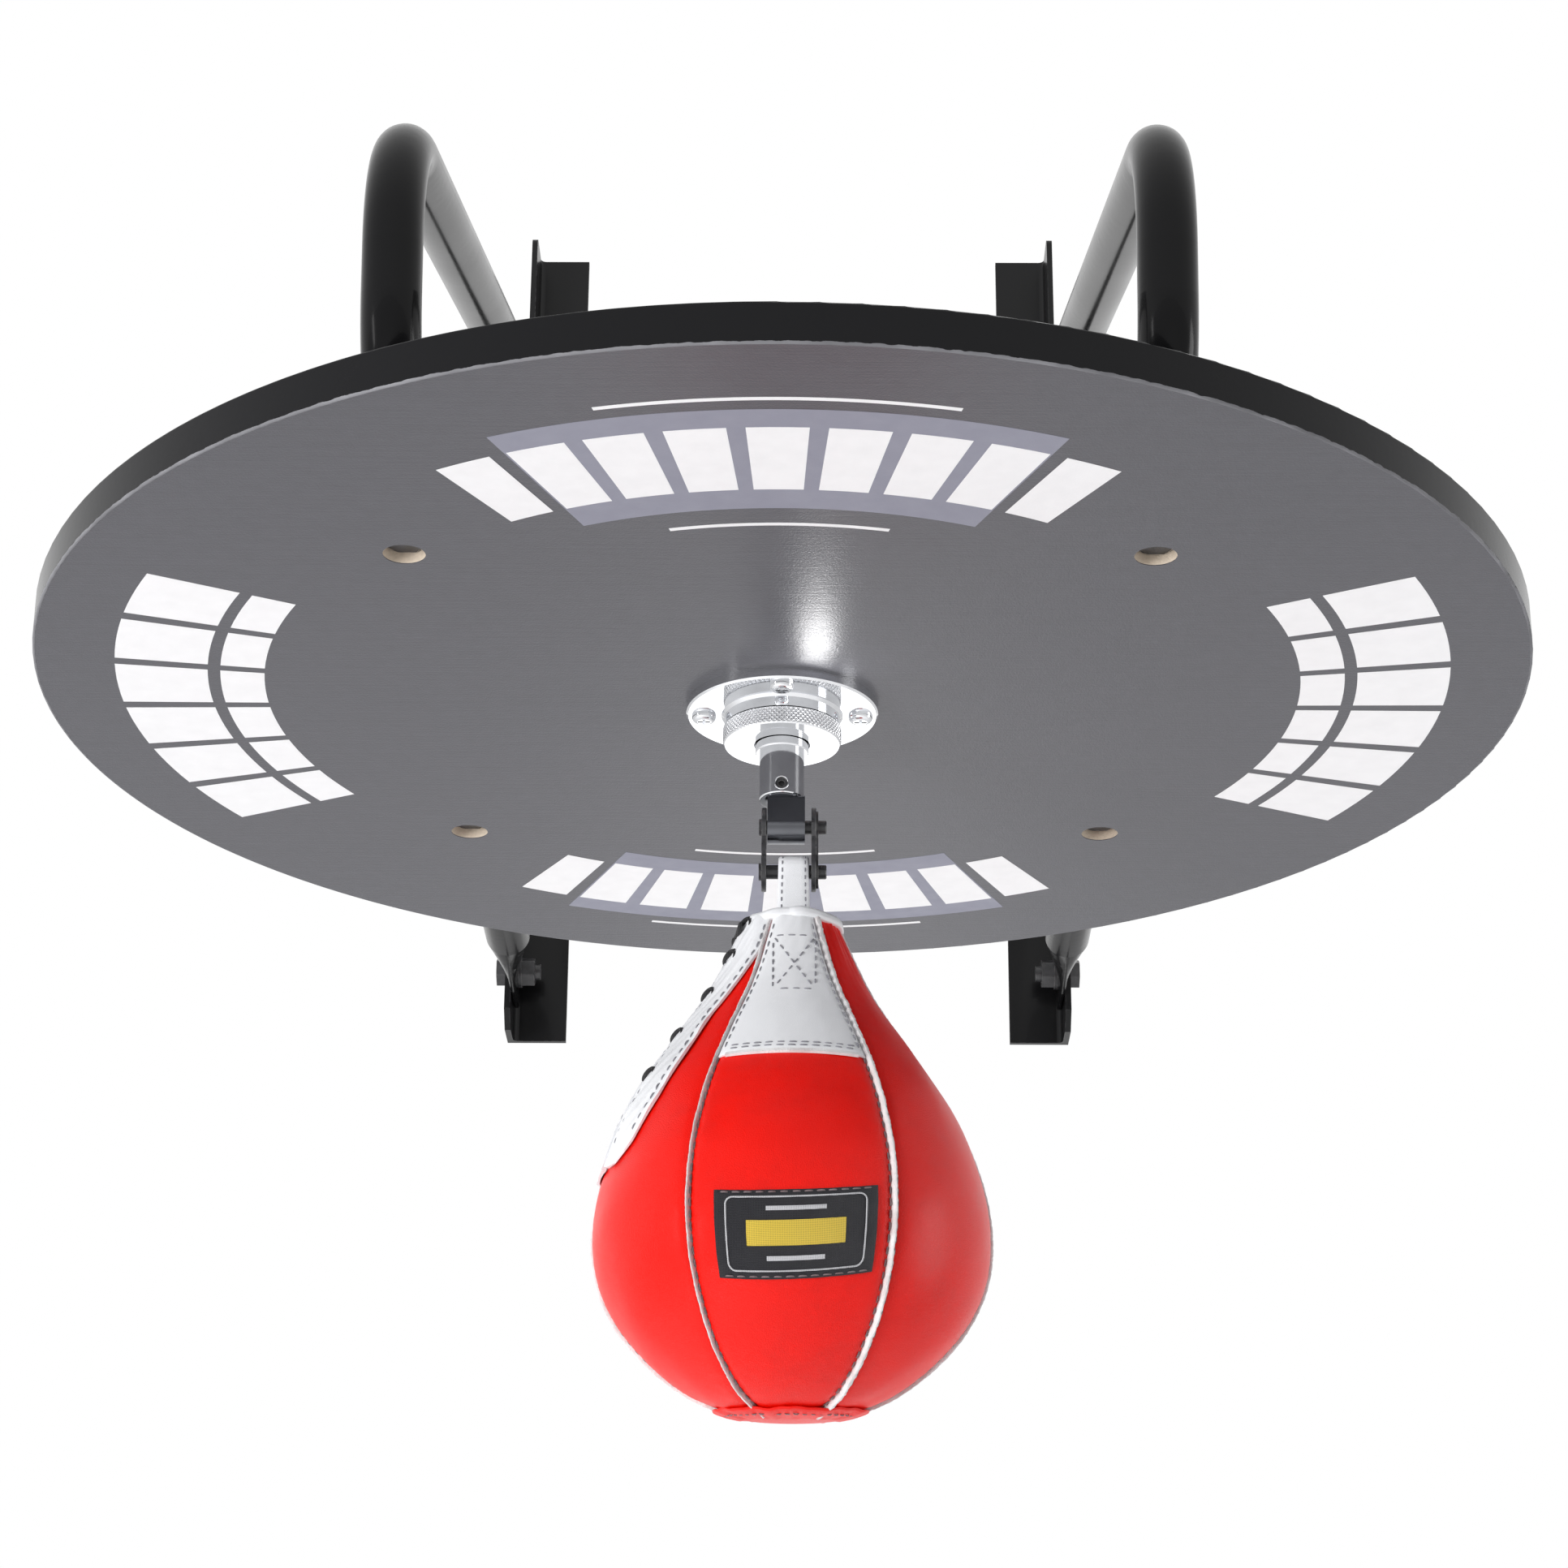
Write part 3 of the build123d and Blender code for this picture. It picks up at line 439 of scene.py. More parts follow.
@dataclass(frozen=True)
class Leather(Finish):
    """Glazed leather: pebbled grain, creases darkened with painted shade, and tone that shifts in soft patches."""

    grain_scale: float = 900.0
    depth: float = 0.0004
    glaze: float = 0.45
    shine: float = 0.5
    # the darker colour: the grain's crease valleys take it as painted shade, the soft patches take it as real tone
    deep: Colour = (0.3, 0.004, 0.003)
    patchiness: float = 0.35

    def dress(self, shop: Workshop, graph: Graph, shader: bpy.types.Node) -> None:
        """Dress the shader as leather; see Finish.dress."""
        grain = graph.group(shop.grain, Scale=self.grain_scale, Creases=0.7)
        mottle = graph.group(shop.mottle, Scale=26.0, Contrast=1.6)
        tone = graph.math("MULTIPLY", mottle.outputs["Patches"], self.patchiness)
        # Painted shade: the low crease valleys of the grain are darkened towards the darker colour, on top of the
        # real tone patches.
        crease_painted_shade = graph.math("SUBTRACT", 0.5, grain.outputs["Crease"])
        shade = graph.math("MULTIPLY_ADD", graph.math("MAXIMUM", crease_painted_shade, 0.0), 0.9, tone, clamp=True)
        graph.feed(shader.inputs["Base Color"], graph.mix(shade, self.colour, self.deep))
        self.vary_roughness(graph, shader, grain.outputs["Crease"], 0.3)
        shader.inputs["Specular IOR Level"].default_value = self.shine
        shader.inputs["Coat Weight"].default_value = self.glaze
        shader.inputs["Coat Roughness"].default_value = 0.34
        self.bump(graph, shader, grain.outputs["Height"], self.depth, 0.45)


@dataclass(frozen=True)
class RawEdge(Finish):
    """Cut leather edge: fuzzy, dull, stained in places."""

    stain: Colour = (0.5, 0.42, 0.42)
    stained: float = 0.5

    def dress(self, shop: Workshop, graph: Graph, shader: bpy.types.Node) -> None:
        """Dress the shader as a raw edge; see Finish.dress."""
        fuzz = graph.node("TexNoise", {"Vector": graph.place(), "Scale": 1400.0, "Detail": 4.0})
        mottle = graph.group(shop.mottle, Scale=120.0, Contrast=3.0)
        stain = graph.math("MULTIPLY", mottle.outputs["Patches"], self.stained)
        graph.feed(shader.inputs["Base Color"], graph.mix(stain, self.colour, self.stain))
        self.vary_roughness(graph, shader, fuzz.outputs[0], 0.2)
        shader.inputs["Sheen Weight"].default_value = 0.3
        self.bump(graph, shader, fuzz.outputs[0], 0.0006, 0.7)


@dataclass(frozen=True)
class Cloth(Finish):
    """Woven thread, lace or label, with a painted highlight on the thread crowns and painted shade in the gaps
    between threads.
    """

    thread_scale: float = 300.0
    # how much lighter the thread crowns are painted, as a painted highlight
    highlight: float = 1.6

    def dress(self, shop: Workshop, graph: Graph, shader: bpy.types.Node) -> None:
        """Dress the shader as woven cloth; see Finish.dress."""
        weave = graph.group(shop.weave, Scale=self.thread_scale)
        mottle = graph.group(shop.mottle, Scale=200.0, Contrast=1.5)
        # Painted highlight: thread crowns are lightened by the weave's height. Painted shade: the gaps between
        # threads are darkened to 0.4 of the colour.
        bright = tuple(min(1.0, c * self.highlight) for c in self.colour)
        threads = graph.mix(weave.outputs["Height"], self.colour, bright)
        graph.feed(shader.inputs["Base Color"], graph.mix(weave.outputs["Gaps"], threads,
                                                          tuple(c * 0.4 for c in self.colour)))
        self.vary_roughness(graph, shader, mottle.outputs["Patches"], 0.15)
        shader.inputs["Sheen Weight"].default_value = 0.06
        self.bump(graph, shader, weave.outputs["Height"], 0.0004, 0.6)


@dataclass(frozen=True)
class Ink(Finish):
    """Screen print on the board, slightly worn through."""

    def dress(self, shop: Workshop, graph: Graph, shader: bpy.types.Node) -> None:
        """Dress the shader as screen print; see Finish.dress."""
        mottle = graph.group(shop.mottle, Scale=110.0, Contrast=2.0)
        worn = tuple(c * 0.95 for c in self.colour)
        graph.feed(shader.inputs["Base Color"], graph.mix(mottle.outputs["Patches"], self.colour, worn))
        self.vary_roughness(graph, shader, mottle.outputs["Patches"], 0.15)
        self.bump(graph, shader, mottle.outputs["Fine"], 0.0002, 0.2)


RAIL_PAINT = Paint("rail_paint", (0.006, 0.006, 0.0065), 0.3, coat=0.08, shine=0.2)
TUBE_PAINT = Paint("tube_paint", (0.004, 0.004, 0.0045), 0.2, coat=0.1, wear=0.0, shine=0.12)
FASTENER_BLACK = BlackOxide("black_fastener", (0.012, 0.012, 0.013), 0.36)
BOARD_FACE = Melamine("board_face", (0.072, 0.072, 0.084), 0.33)
BOARD_EDGE = EdgeBand("board_edge", (0.006, 0.006, 0.007), 0.2)
CHROME = Plating("swivel_chrome", (0.86, 0.87, 0.89), 0.07)
STRAP_CHROME = Plating("strap_chrome", (0.16, 0.165, 0.18), 0.2, marks=0.15, turned=0.2)
BEARING_STEEL = Plating("bearing_steel", (0.62, 0.62, 0.64), 0.18)
CHAIN_BLACK = BlackOxide("blackened_steel", (0.01, 0.01, 0.011), 0.34)
# In the leather finishes, deep is the darker colour used for painted shade in the crease valleys and for real tone
# patches.
RED_LEATHER = Leather("red_leather", (0.9, 0.006, 0.001), 0.4, grain_scale=1500.0, depth=0.0005,
                      glaze=0.4, shine=0.12, deep=(0.5, 0.004, 0.0015), patchiness=0.22)
WHITE_LEATHER = Leather("white_leather", (0.9, 0.91, 0.93), 0.4, grain_scale=2300.0, depth=0.0001,
                        deep=(0.8, 0.81, 0.85), patchiness=0.1)
WELT_LEATHER = RawEdge("welt_leather", (0.84, 0.83, 0.83), 0.72)
GREY_THREAD = RawEdge("grey_thread", (0.3, 0.3, 0.33), 0.6, stain=(0.12, 0.12, 0.14))
DARK_THREAD = RawEdge("dark_thread", (0.2, 0.16, 0.17), 0.6, stain=(0.08, 0.03, 0.03))
LACE_BLACK = Cloth("lace_cord", (0.008, 0.008, 0.009), 0.62, thread_scale=420.0)
LABEL_BLACK = Cloth("label_weave", (0.006, 0.006, 0.008), 0.6, thread_scale=520.0, highlight=2.2)
LABEL_GREY = Cloth("label_thread", (0.45, 0.45, 0.47), 0.5, thread_scale=700.0)
LABEL_GOLD = Cloth("label_gold", (0.55, 0.4, 0.05), 0.5, thread_scale=700.0)
RUBBER = Paint("bladder_rubber", (0.02, 0.02, 0.02), 0.6, coat=0.0, wear=0.0)
WHITE_INK = Ink("white_ink", (0.95, 0.95, 0.96), 0.5)
GREY_INK = Ink("grey_ink", (0.27, 0.275, 0.34), 0.5)


# ---- mesh helpers ------------------------------------------------------------------------------


@dataclass
class Maker:
    """Turns arrays of points into finished pieces that ride on the frame."""

    shop: Workshop

    def piece(self, name: str, points: np.ndarray, faces: Iterable[Sequence[int]], body: Body, slot: str,
              finish: Finish, replaces: Sequence[str] = (), smooth: bool = True) -> bpy.types.Object:
        """Make a mesh piece.

        Args:
            name: the piece's name.
            points: one row of three metres each.
            faces: corner numbers of each face.
            body: the frame body that it rides on.
            slot: not used.
            finish: its finish.
            replaces: the CAD nodes that it stands for.
            smooth: shade it smooth, with sharp corners kept.

        Returns:
            The new object.
        """
        mesh = bpy.data.meshes.new(name)
        mesh.from_pydata([tuple(map(float, p)) for p in points], [], [tuple(f) for f in faces])
        mesh.validate()
        mesh.update()
        made = bpy.data.objects.new(name, mesh)
        bpy.context.scene.collection.objects.link(made)
        if smooth:
            mesh.shade_smooth()
            mesh.set_sharp_from_angle(angle=math.radians(50))
        self.shop.coat(made, finish)
        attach(made, body.value)
        if replaces:
            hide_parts(*replaces)
        LOG.info("%s: %d faces, rides on %s", name, len(mesh.polygons), body.value)
        return made


def grid_faces(rows: int, columns: int, closed: bool = False) -> list[tuple[int, ...]]:
    """Faces of a grid of points.

    Args:
        rows: number of rows.
        columns: number of points in a row.
        closed: join each row's end to its start.

    Returns:
        Four corner numbers for each face.
    """
    faces = []
    for i in range(rows - 1):
        for j in range(columns if closed else columns - 1):
            k = (j + 1) % columns
            faces.append((i * columns + j, i * columns + k, (i + 1) * columns + k, (i + 1) * columns + j))
    return faces


class Pile:
    """Collects separate small solids into one mesh."""

    def __init__(self) -> None:
        """Start empty."""
        self.points: list[np.ndarray] = []
        self.faces: list[tuple[int, ...]] = []
        self.count = 0

    def add(self, points: np.ndarray, faces: Iterable[Sequence[int]]) -> None:
        """Add a solid's points and faces."""
        self.points.append(np.asarray(points, float))
        self.faces += [tuple(c + self.count for c in face) for face in faces]
        self.count += len(points)

    def tube(self, sections: np.ndarray) -> None:
        """Add a closed solid swept through rings of points.

        Args:
            sections: an array of rings, points in a ring, and three metres.
        """
        rings, around = sections.shape[:2]
        faces = grid_faces(rings, around, closed=True)
        faces.append(tuple(range(around - 1, -1, -1)))
        faces.append(tuple((rings - 1) * around + j for j in range(around)))
        self.add(sections.reshape(-1, 3), faces)

    def all_points(self) -> np.ndarray:
        """Every point collected so far."""
        return np.concatenate(self.points)


def unit(vectors: np.ndarray) -> np.ndarray:
    """Vectors scaled to length one."""
    length = np.linalg.norm(vectors, axis=-1, keepdims=True)
    return vectors / np.maximum(length, 1e-12)


def cubic(table: np.ndarray, where: np.ndarray) -> np.ndarray:
    """A smooth curve through evenly numbered values.

    Args:
        table: values along its first axis.
        where: places between 0 and the last number.

    Returns:
        The values there.
    """
    last = len(table) - 1
    cell = np.clip(np.floor(where).astype(int), 0, last - 1)
    t = (where - cell).reshape(where.shape + (1,) * (table.ndim - 1))
    p0, p1 = table[np.maximum(cell - 1, 0)], table[cell]
    p2, p3 = table[cell + 1], table[np.minimum(cell + 2, last)]
    return 0.5 * (2 * p1 + (p2 - p0) * t + (2 * p0 - 5 * p1 + 4 * p2 - p3) * t**2
                  + (3 * p1 - p0 - 3 * p2 + p3) * t**3)


def ripple(*phases: np.ndarray) -> np.ndarray:
    """A repeatable uneven wave between about -1 and 1, made from a few sines."""
    first = phases[0]
    second = phases[1] if len(phases) > 1 else 0.0
    return (np.sin(first + 1.3 * np.sin(0.37 * first + second)) * 0.6
            + np.sin(2.17 * first + 1.7 * second + 0.8) * 0.4)


# ---- the bag's leather case --------------------------------------------------------------------


@dataclass
class Case:
    """The inflated six-panel leather case, and any place on its surface.

    Attributes:
        outline: radius and height below the board, in millimetres, from the neck down.
        panels: number of sewn panels.
        swell: how far a panel may swell between its seams, in metres.
        pressure: the simulation's pressure.
        stiffness: the simulated leather's stiffness in tension and compression.
        steps: frames simulated.
    """

    outline: Sequence[tuple[float, float]] = (
        (17.5, -96.0), (30.6, -125.0), (47.0, -150.0), (62.5, -175.0), (72.5, -200.0), (76.2, -222.0),
        (74.2, -241.0), (66.5, -258.0), (54.7, -272.0), (38.1, -284.5), (20.0, -292.0),
    )
    panels: int = 6
    columns: int = 14
    rows: int = 60
    swell: float = 0.0032
    pressure: float = 4.0
    stiffness: float = 30.0
    steps: int = 20
    seam_dip: float = 0.0011
    seam_reach: float = 0.0026
    net: np.ndarray = field(init=False)

    def __post_init__(self) -> None:
        """Lay out the case and inflate it."""
        self.net = self.lathe()
        self.net = self.inflate(self.net)

    def profile(self, t: np.ndarray) -> tuple[np.ndarray, np.ndarray]:
        """Radius and height, in metres, at fractions of the way from neck to bottom."""
        table = np.array(self.outline) * MM
        dense = cubic(table, np.linspace(0, len(table) - 1, 400))
        along = np.r_[0, np.cumsum(np.linalg.norm(np.diff(dense, axis=0), axis=1))]
        wanted = np.asarray(t) * along[-1]
        return np.interp(wanted, along, dense[:, 0]), np.interp(wanted, along, dense[:, 1])

    def fraction_at(self, height_mm: float) -> float:
        """The fraction of the way down the case at a height below the board."""
        t = np.linspace(0, 1, 800)
        heights = self.profile(t)[1]
        return float(np.interp(-height_mm * MM, -heights, t))

    def lathe(self) -> np.ndarray:
        """The case before it is inflated: rows down, columns around from the front-left seam."""
        t = np.linspace(0, 1, self.rows)
        radius, height = self.profile(t)
        turn = np.radians(-180 / self.panels + np.arange(self.panels * self.columns)
                          * 360 / (self.panels * self.columns))
        x = BAG_CENTRE[0] + radius[:, None] * np.sin(turn)
        y = BAG_CENTRE[1] - radius[:, None] * np.cos(turn)
        z = np.repeat((BOARD_UNDER + height)[:, None], len(turn), axis=1)
        z += self.lean(t)[:, None] * (y - BAG_CENTRE[1])
        return np.stack([x, y, z], axis=-1)

    @staticmethod
    def lean(t: np.ndarray) -> np.ndarray:
        """How far the case's foot is out of true, as a slope that grows towards the bottom."""
        grown = np.clip((t - 0.6) / 0.4, 0, 1)
        return 0.18 * grown * grown * (3 - 2 * grown)

    def inflate(self, net: np.ndarray) -> np.ndarray:
        """Press the case with cloth simulation, held along its seams, and take up its small move as swell.

        The net's faces point inwards, so the pressure draws the panels in. The move is turned round to
        face outwards.

        Args:
            net: the case's points before.

        Returns:
            The points after, each moved no further than the swell.
        """
        rows, around = net.shape[:2]
        mesh = bpy.data.meshes.new("case_sim")
        mesh.from_pydata([tuple(p) for p in net.reshape(-1, 3)], [], grid_faces(rows, around, closed=True))
        mesh.update()
        trial = bpy.data.objects.new("case_sim", mesh)
        bpy.context.scene.collection.objects.link(trial)
        held = trial.vertex_groups.new(name="seams")
        seams = [i * around + j for i in range(rows) for j in range(around)
                 if j % self.columns == 0 or i in (0, rows - 1)]
        held.add(seams, 1.0, "REPLACE")
        cloth = trial.modifiers.new("inflate", "CLOTH")
        settings = cloth.settings
        settings.vertex_group_mass = "seams"
        settings.use_pressure = True
        settings.uniform_pressure_force = self.pressure
        settings.effector_weights.gravity = 0.0
        settings.tension_stiffness = settings.compression_stiffness = self.stiffness
        settings.bending_stiffness = 2.0
        settings.quality = 6
        cloth.collision_settings.use_collision = False
        scene = bpy.context.scene
        for step in range(self.steps):
            scene.frame_set(step + 1)
        graph = bpy.context.evaluated_depsgraph_get()
        blown = trial.evaluated_get(graph).to_mesh()
        after = np.array([v.co[:] for v in blown.vertices]).reshape(net.shape)
        scene.frame_set(1)
        bpy.data.objects.remove(trial)
        outward = self.outward(net)
        gain = np.clip(-np.sum((after - net) * outward, axis=-1), -self.swell, self.swell)
        LOG.info("case inflated: panels swell up to %.2f mm", gain.max() / MM)
        return net + outward * gain[..., None]

    @staticmethod
    def outward(net: np.ndarray) -> np.ndarray:
        """Unit directions out of a closed net of points."""
        down = np.gradient(net, axis=0)
        around = np.roll(net, -1, axis=1) - np.roll(net, 1, axis=1)
        facing = unit(np.cross(around, down))
        front = facing[5, 0]
        return -facing if front[1] > 0 else facing

    def points(self, t: np.ndarray, degrees: np.ndarray, lift: object = 0.0, seams: bool = True) -> np.ndarray:
        """Places on the case.

        Args:
            t: fractions of the way from neck to bottom.
            degrees: headings, 0 at the front and growing to the right.
            lift: metres to stand off the surface.
            seams: follow the valleys along the seams.

        Returns:
            One row of three metres for each place.
        """
        base = self.raw(t, degrees)
        step = 1e-3
        down = self.raw(np.clip(t + step, 0, 1), degrees) - self.raw(np.clip(t - step, 0, 1), degrees)
        heading = np.radians(degrees)
        side = np.stack([np.cos(heading), np.sin(heading), 0 * heading], axis=-1)
        out = unit(np.cross(down, side))
        radial = np.stack([np.sin(heading), -np.cos(heading), 0 * heading], axis=-1)
        out *= np.sign(np.sum(out * radial, axis=-1, keepdims=True) + 1e-9)
        rise = np.zeros_like(t) + lift
        if seams:
            rise = rise - self.seam_dip * np.exp(-(self.seam_distance(t, degrees) / self.seam_reach) ** 2)
        return base + out * rise[..., None]

    def raw(self, t: np.ndarray, degrees: np.ndarray) -> np.ndarray:
        """Places on the inflated case, smooth within each panel."""
        width = 360 / self.panels
        turn = (degrees + width / 2) % 360
        panel = np.minimum((turn // width).astype(int), self.panels - 1)
        across = (turn - panel * width) / width * self.columns
        ring = np.concatenate([self.net, self.net[:, :1]], axis=1)
        result = np.zeros(t.shape + (3,))
        for k in range(self.panels):
            chosen = panel == k
            if not chosen.any():
                continue
            part = ring[:, k * self.columns:(k + 1) * self.columns + 1]
            row = t[chosen] * (self.rows - 1)
            column = across[chosen]
            cell = np.clip(np.floor(row).astype(int), 0, self.rows - 2)
            w = (row - cell)[:, None]
            stack = [cubic_columns(part, np.clip(cell + d, 0, self.rows - 1), column) for d in (-1, 0, 1, 2)]
            p0, p1, p2, p3 = stack
            result[chosen] = 0.5 * (2 * p1 + (p2 - p0) * w + (2 * p0 - 5 * p1 + 4 * p2 - p3) * w**2
                                    + (3 * p1 - p0 - 3 * p2 + p3) * w**3)
        return result

    def seam_distance(self, t: np.ndarray, degrees: np.ndarray) -> np.ndarray:
        """Metres from the nearest seam, along the surface."""
        width = 360 / self.panels
        off = np.abs((degrees + width) % width - width / 2)
        return np.radians(np.minimum(off, width)) * self.profile(t)[0]


def cubic_columns(part: np.ndarray, rows: np.ndarray, column: np.ndarray) -> np.ndarray:
    """Smooth values across chosen rows of a net.

    Args:
        part: a net of points.
        rows: the row of each wanted place.
        column: how far along its row each place is.

    Returns:
        One point for each place.
    """
    last = part.shape[1] - 1
    cell = np.clip(np.floor(column).astype(int), 0, last - 1)
    t = (column - cell)[:, None]
    p0, p1 = part[rows, np.maximum(cell - 1, 0)], part[rows, cell]
    p2, p3 = part[rows, cell + 1], part[rows, np.minimum(cell + 2, last)]
    return 0.5 * (2 * p1 + (p2 - p0) * t + (2 * p0 - 5 * p1 + 4 * p2 - p3) * t**2
                  + (3 * p1 - p0 - 3 * p2 + p3) * t**3)


@dataclass
class SpeedBag:
    """The leather bag: case, welts, stitching, yoke, lacing, label, collar, loop and bottom patch.

    Attributes:
        maker: what makes and dresses each piece.
        case: the shape that everything lies on.
        leather: thickness of the panels, in metres.
        thread: radius of the sewing thread.
        stitch: length of a stitch.
        stitch_gap: gap between two stitches.
        label_levels: heights of the label's top and bottom, in millimetres.
        label_left: heading of the label's left side, in degrees.
        label_span: degrees from its left side to its right.
        lacing_foot: height of the lacing flaps' lower end, in millimetres.
        slit: heading of the slit between the flaps, in degrees.
        eyelets: heights of the eyelets, in millimetres.
    """

    maker: Maker
    case: Case = field(default_factory=Case)
    leather: float = 0.0021
    thread: float = 0.0003
    stitch: float = 0.0032
    stitch_gap: float = 0.0013
    label_levels: tuple[float, float] = (-223.5, -252.0)
    label_left: float = -21.5
    label_span: float = 46.0
    lacing_foot: float = -203.0
    slit: float = -71.0
    eyelets: tuple[float, ...] = (-99.0, -113.0, -130.0, -148.0, -165.0)

    def build(self) -> None:
        """Build and dress every piece of the bag."""
        self.bladder()
        self.panels()
        self.welts()
        self.yoke()
        self.lacing()
        self.label()
        self.collar()
        self.loop()
        self.bottom()
        self.seam_stitches()

    def sheet(self, t: np.ndarray, degrees: np.ndarray, lift: float, thick: float, roll: float = 0.25,
              relief: np.ndarray | float = 0.0) -> tuple[np.ndarray, list]:
        """A closed piece of leather lying on the case.

        Args:
            t: a grid of fractions down the case.
            degrees: a grid of headings.
            lift: metres between the case and the piece's underside.
            thick: its thickness in metres.
            roll: share of the thickness by which its edges round off.
            relief: extra height over the grid.

        Returns:
            Points and faces.
        """
        rows, columns = t.shape
        edge = np.minimum(np.minimum(np.arange(rows)[:, None], np.arange(rows)[::-1][:, None]),
                          np.minimum(np.arange(columns)[None], np.arange(columns)[::-1][None]))
        soften = np.where(edge == 0, roll, np.where(edge == 1, roll * 0.25, 0.0))
        top = self.case.points(t.ravel(), degrees.ravel(), (lift + thick * (1 - soften) + relief).ravel())
        low = self.case.points(t.ravel(), degrees.ravel(), lift)
        count = rows * columns
        faces = grid_faces(rows, columns)
        faces += [tuple(c + count for c in face[::-1]) for face in grid_faces(rows, columns)]
        rim = [(0, j) for j in range(columns)] + [(i, columns - 1) for i in range(1, rows)]
        rim += [(rows - 1, j) for j in range(columns - 2, -1, -1)] + [(i, 0) for i in range(rows - 2, 0, -1)]
        ids = [i * columns + j for i, j in rim]
        for a, b in zip(ids, ids[1:] + ids[:1]):
            faces.append((b, a, a + count, b + count))
        return np.concatenate([top, low]), faces

    def add_sheet(self, name: str, t: np.ndarray, degrees: np.ndarray, lift: float, thick: float, slot: str,
                  finish: Finish, replaces: Sequence[str] = (), **shape: object) -> bpy.types.Object:
        """Make a sheet lying on the case into a piece; see sheet for its values."""
        points, faces = self.sheet(t, degrees, lift, thick, **shape)
        return self.maker.piece(name, points, faces, Body.BAG, slot, finish, replaces)

    def bladder(self) -> None:
        """The rubber bladder, a little inside the leather."""
        rows, columns = 70, 72
        t = np.repeat(np.linspace(0.0, 1.0, rows)[:, None], columns, axis=1)
        degrees = np.repeat(np.arange(columns)[None] * 360 / columns, rows, axis=0)
        sections = self.case.points(t.ravel(), degrees.ravel(), -0.0034, seams=False).reshape(rows, columns, 3)
        pile = Pile()
        pile.tube(sections)
        self.maker.piece("rubber_bladder", pile.all_points(), pile.faces, Body.BAG, "bladder_rubber", RUBBER,
                         ["bladder"])

    def panels(self) -> None:
        """The six red panels, puckered along their seams and pleated at the neck."""
        width = 360 / self.case.panels
        rows, columns = 190, 44
        for k in range(self.case.panels):
            margin = 0.012
            across = np.linspace(margin, 1 - margin, columns)
            across = 0.5 - np.cos(across * math.pi) * 0.5 * 0.35 + (across - 0.5) * 0.65
            degrees = -width / 2 + (k + across)[None] * width
            t = np.repeat(np.linspace(0.0, 1.0, rows)[:, None], columns, axis=1)
            degrees = np.repeat(degrees, rows, axis=0)
            gap = self.case.seam_distance(t, degrees)
            length = t * 0.24
            pucker = 0.00016 * np.exp(-gap / 0.006) * ripple(length / 0.0009, degrees * 0.5 + k)
            pleat = 0.00045 * np.exp(-t / 0.07) * ripple(np.radians(degrees) * 21 + k, t * 9)
            sag = 0.00025 * ripple(t * 17 + k, degrees * 0.11)
            piece = self.add_sheet(f"leather_panel_{k + 1}", t, degrees, -self.leather, self.leather,
                                   "red_leather", RED_LEATHER, [f"bag_panel_{k + 1}"],
                                   relief=pucker + pleat + sag, roll=0.3)

    def welts(self) -> None:
        """Raw-edged piping standing in each seam, thicker at the front right."""
        width = 360 / self.case.panels
        stretch = 260
        for k in range(self.case.panels):
            half = 0.00125 if k == 1 else 0.0007
            proud = 0.0016 if k == 1 else 0.001
            t = np.linspace(0.0, 1.0, stretch)
            seam = -width / 2 + k * width
            radius = np.maximum(self.case.profile(t)[0], 0.01)
            wander = 0.00022 * ripple(t * 60 + k, t * 7)
            fray = 1 + 0.13 * ripple(t * 330 + 2 * k, t * 41)
            ring = [(-1.0, -2.2), (-1.0, 0.2), (-0.72, 0.82), (0.0, 1.0), (0.72, 0.82), (1.0, 0.2), (1.0, -2.2)]
            sections = []
            for side, rise in ring:
                offset = np.degrees((half * side * fray + wander) / radius)
                height = proud * rise * fray if rise > 0 else MM * rise
                sections.append(self.case.points(t, seam + offset, height, seams=False))
            pile = Pile()
            pile.tube(np.stack(sections, axis=1))
            self.maker.piece(f"seam_welt_{k + 1}", pile.all_points(), pile.faces, Body.BAG, "welt_leather",
                             WELT_LEATHER, ["bag_welts"] if k == 0 else ())

    def stitches(self, pile: Pile, t: np.ndarray, degrees: np.ndarray, lift: float, seams: bool = True) -> None:
        """Add a row of sewn stitches that follows a line on the case.

        Args:
            pile: collects the stitches.
            t: fractions down the case along the line.
            degrees: headings along the line.
            lift: metres from the case to the thread's middle.
            seams: follow the seam valleys.
        """
        line = self.case.points(t, degrees, lift, seams)
        along = np.r_[0, np.cumsum(np.linalg.norm(np.diff(line, axis=0), axis=1))]
        pitch = self.stitch + self.stitch_gap
        for start in np.arange(self.stitch_gap, along[-1] - self.stitch, pitch):
            span = start + self.stitch * np.array([0.0, 0.18, 0.5, 0.82, 1.0])
            centre = np.stack([np.interp(span, along, line[:, axis]) for axis in range(3)], axis=-1)
            forward = unit(centre[-1:] - centre[:1])[0]
            heading = np.interp(start, along, degrees)
            out = np.array([math.sin(math.radians(heading)), -math.cos(math.radians(heading)), 0.0])
            side = unit(np.cross(forward, out)[None])[0]
            up = np.cross(side, forward)
            sink = self.thread * np.array([-1.3, 0.2, 0.5, 0.2, -1.3])
            size = self.thread * np.array([0.6, 1.0, 1.1, 1.0, 0.6])
            turn = np.arange(6) * math.pi / 3
            rings = (centre[:, None] + up * sink[:, None, None]
                     + (np.cos(turn)[None, :, None] * side + np.sin(turn)[None, :, None] * up)
                     * size[:, None, None])
            pile.tube(rings)

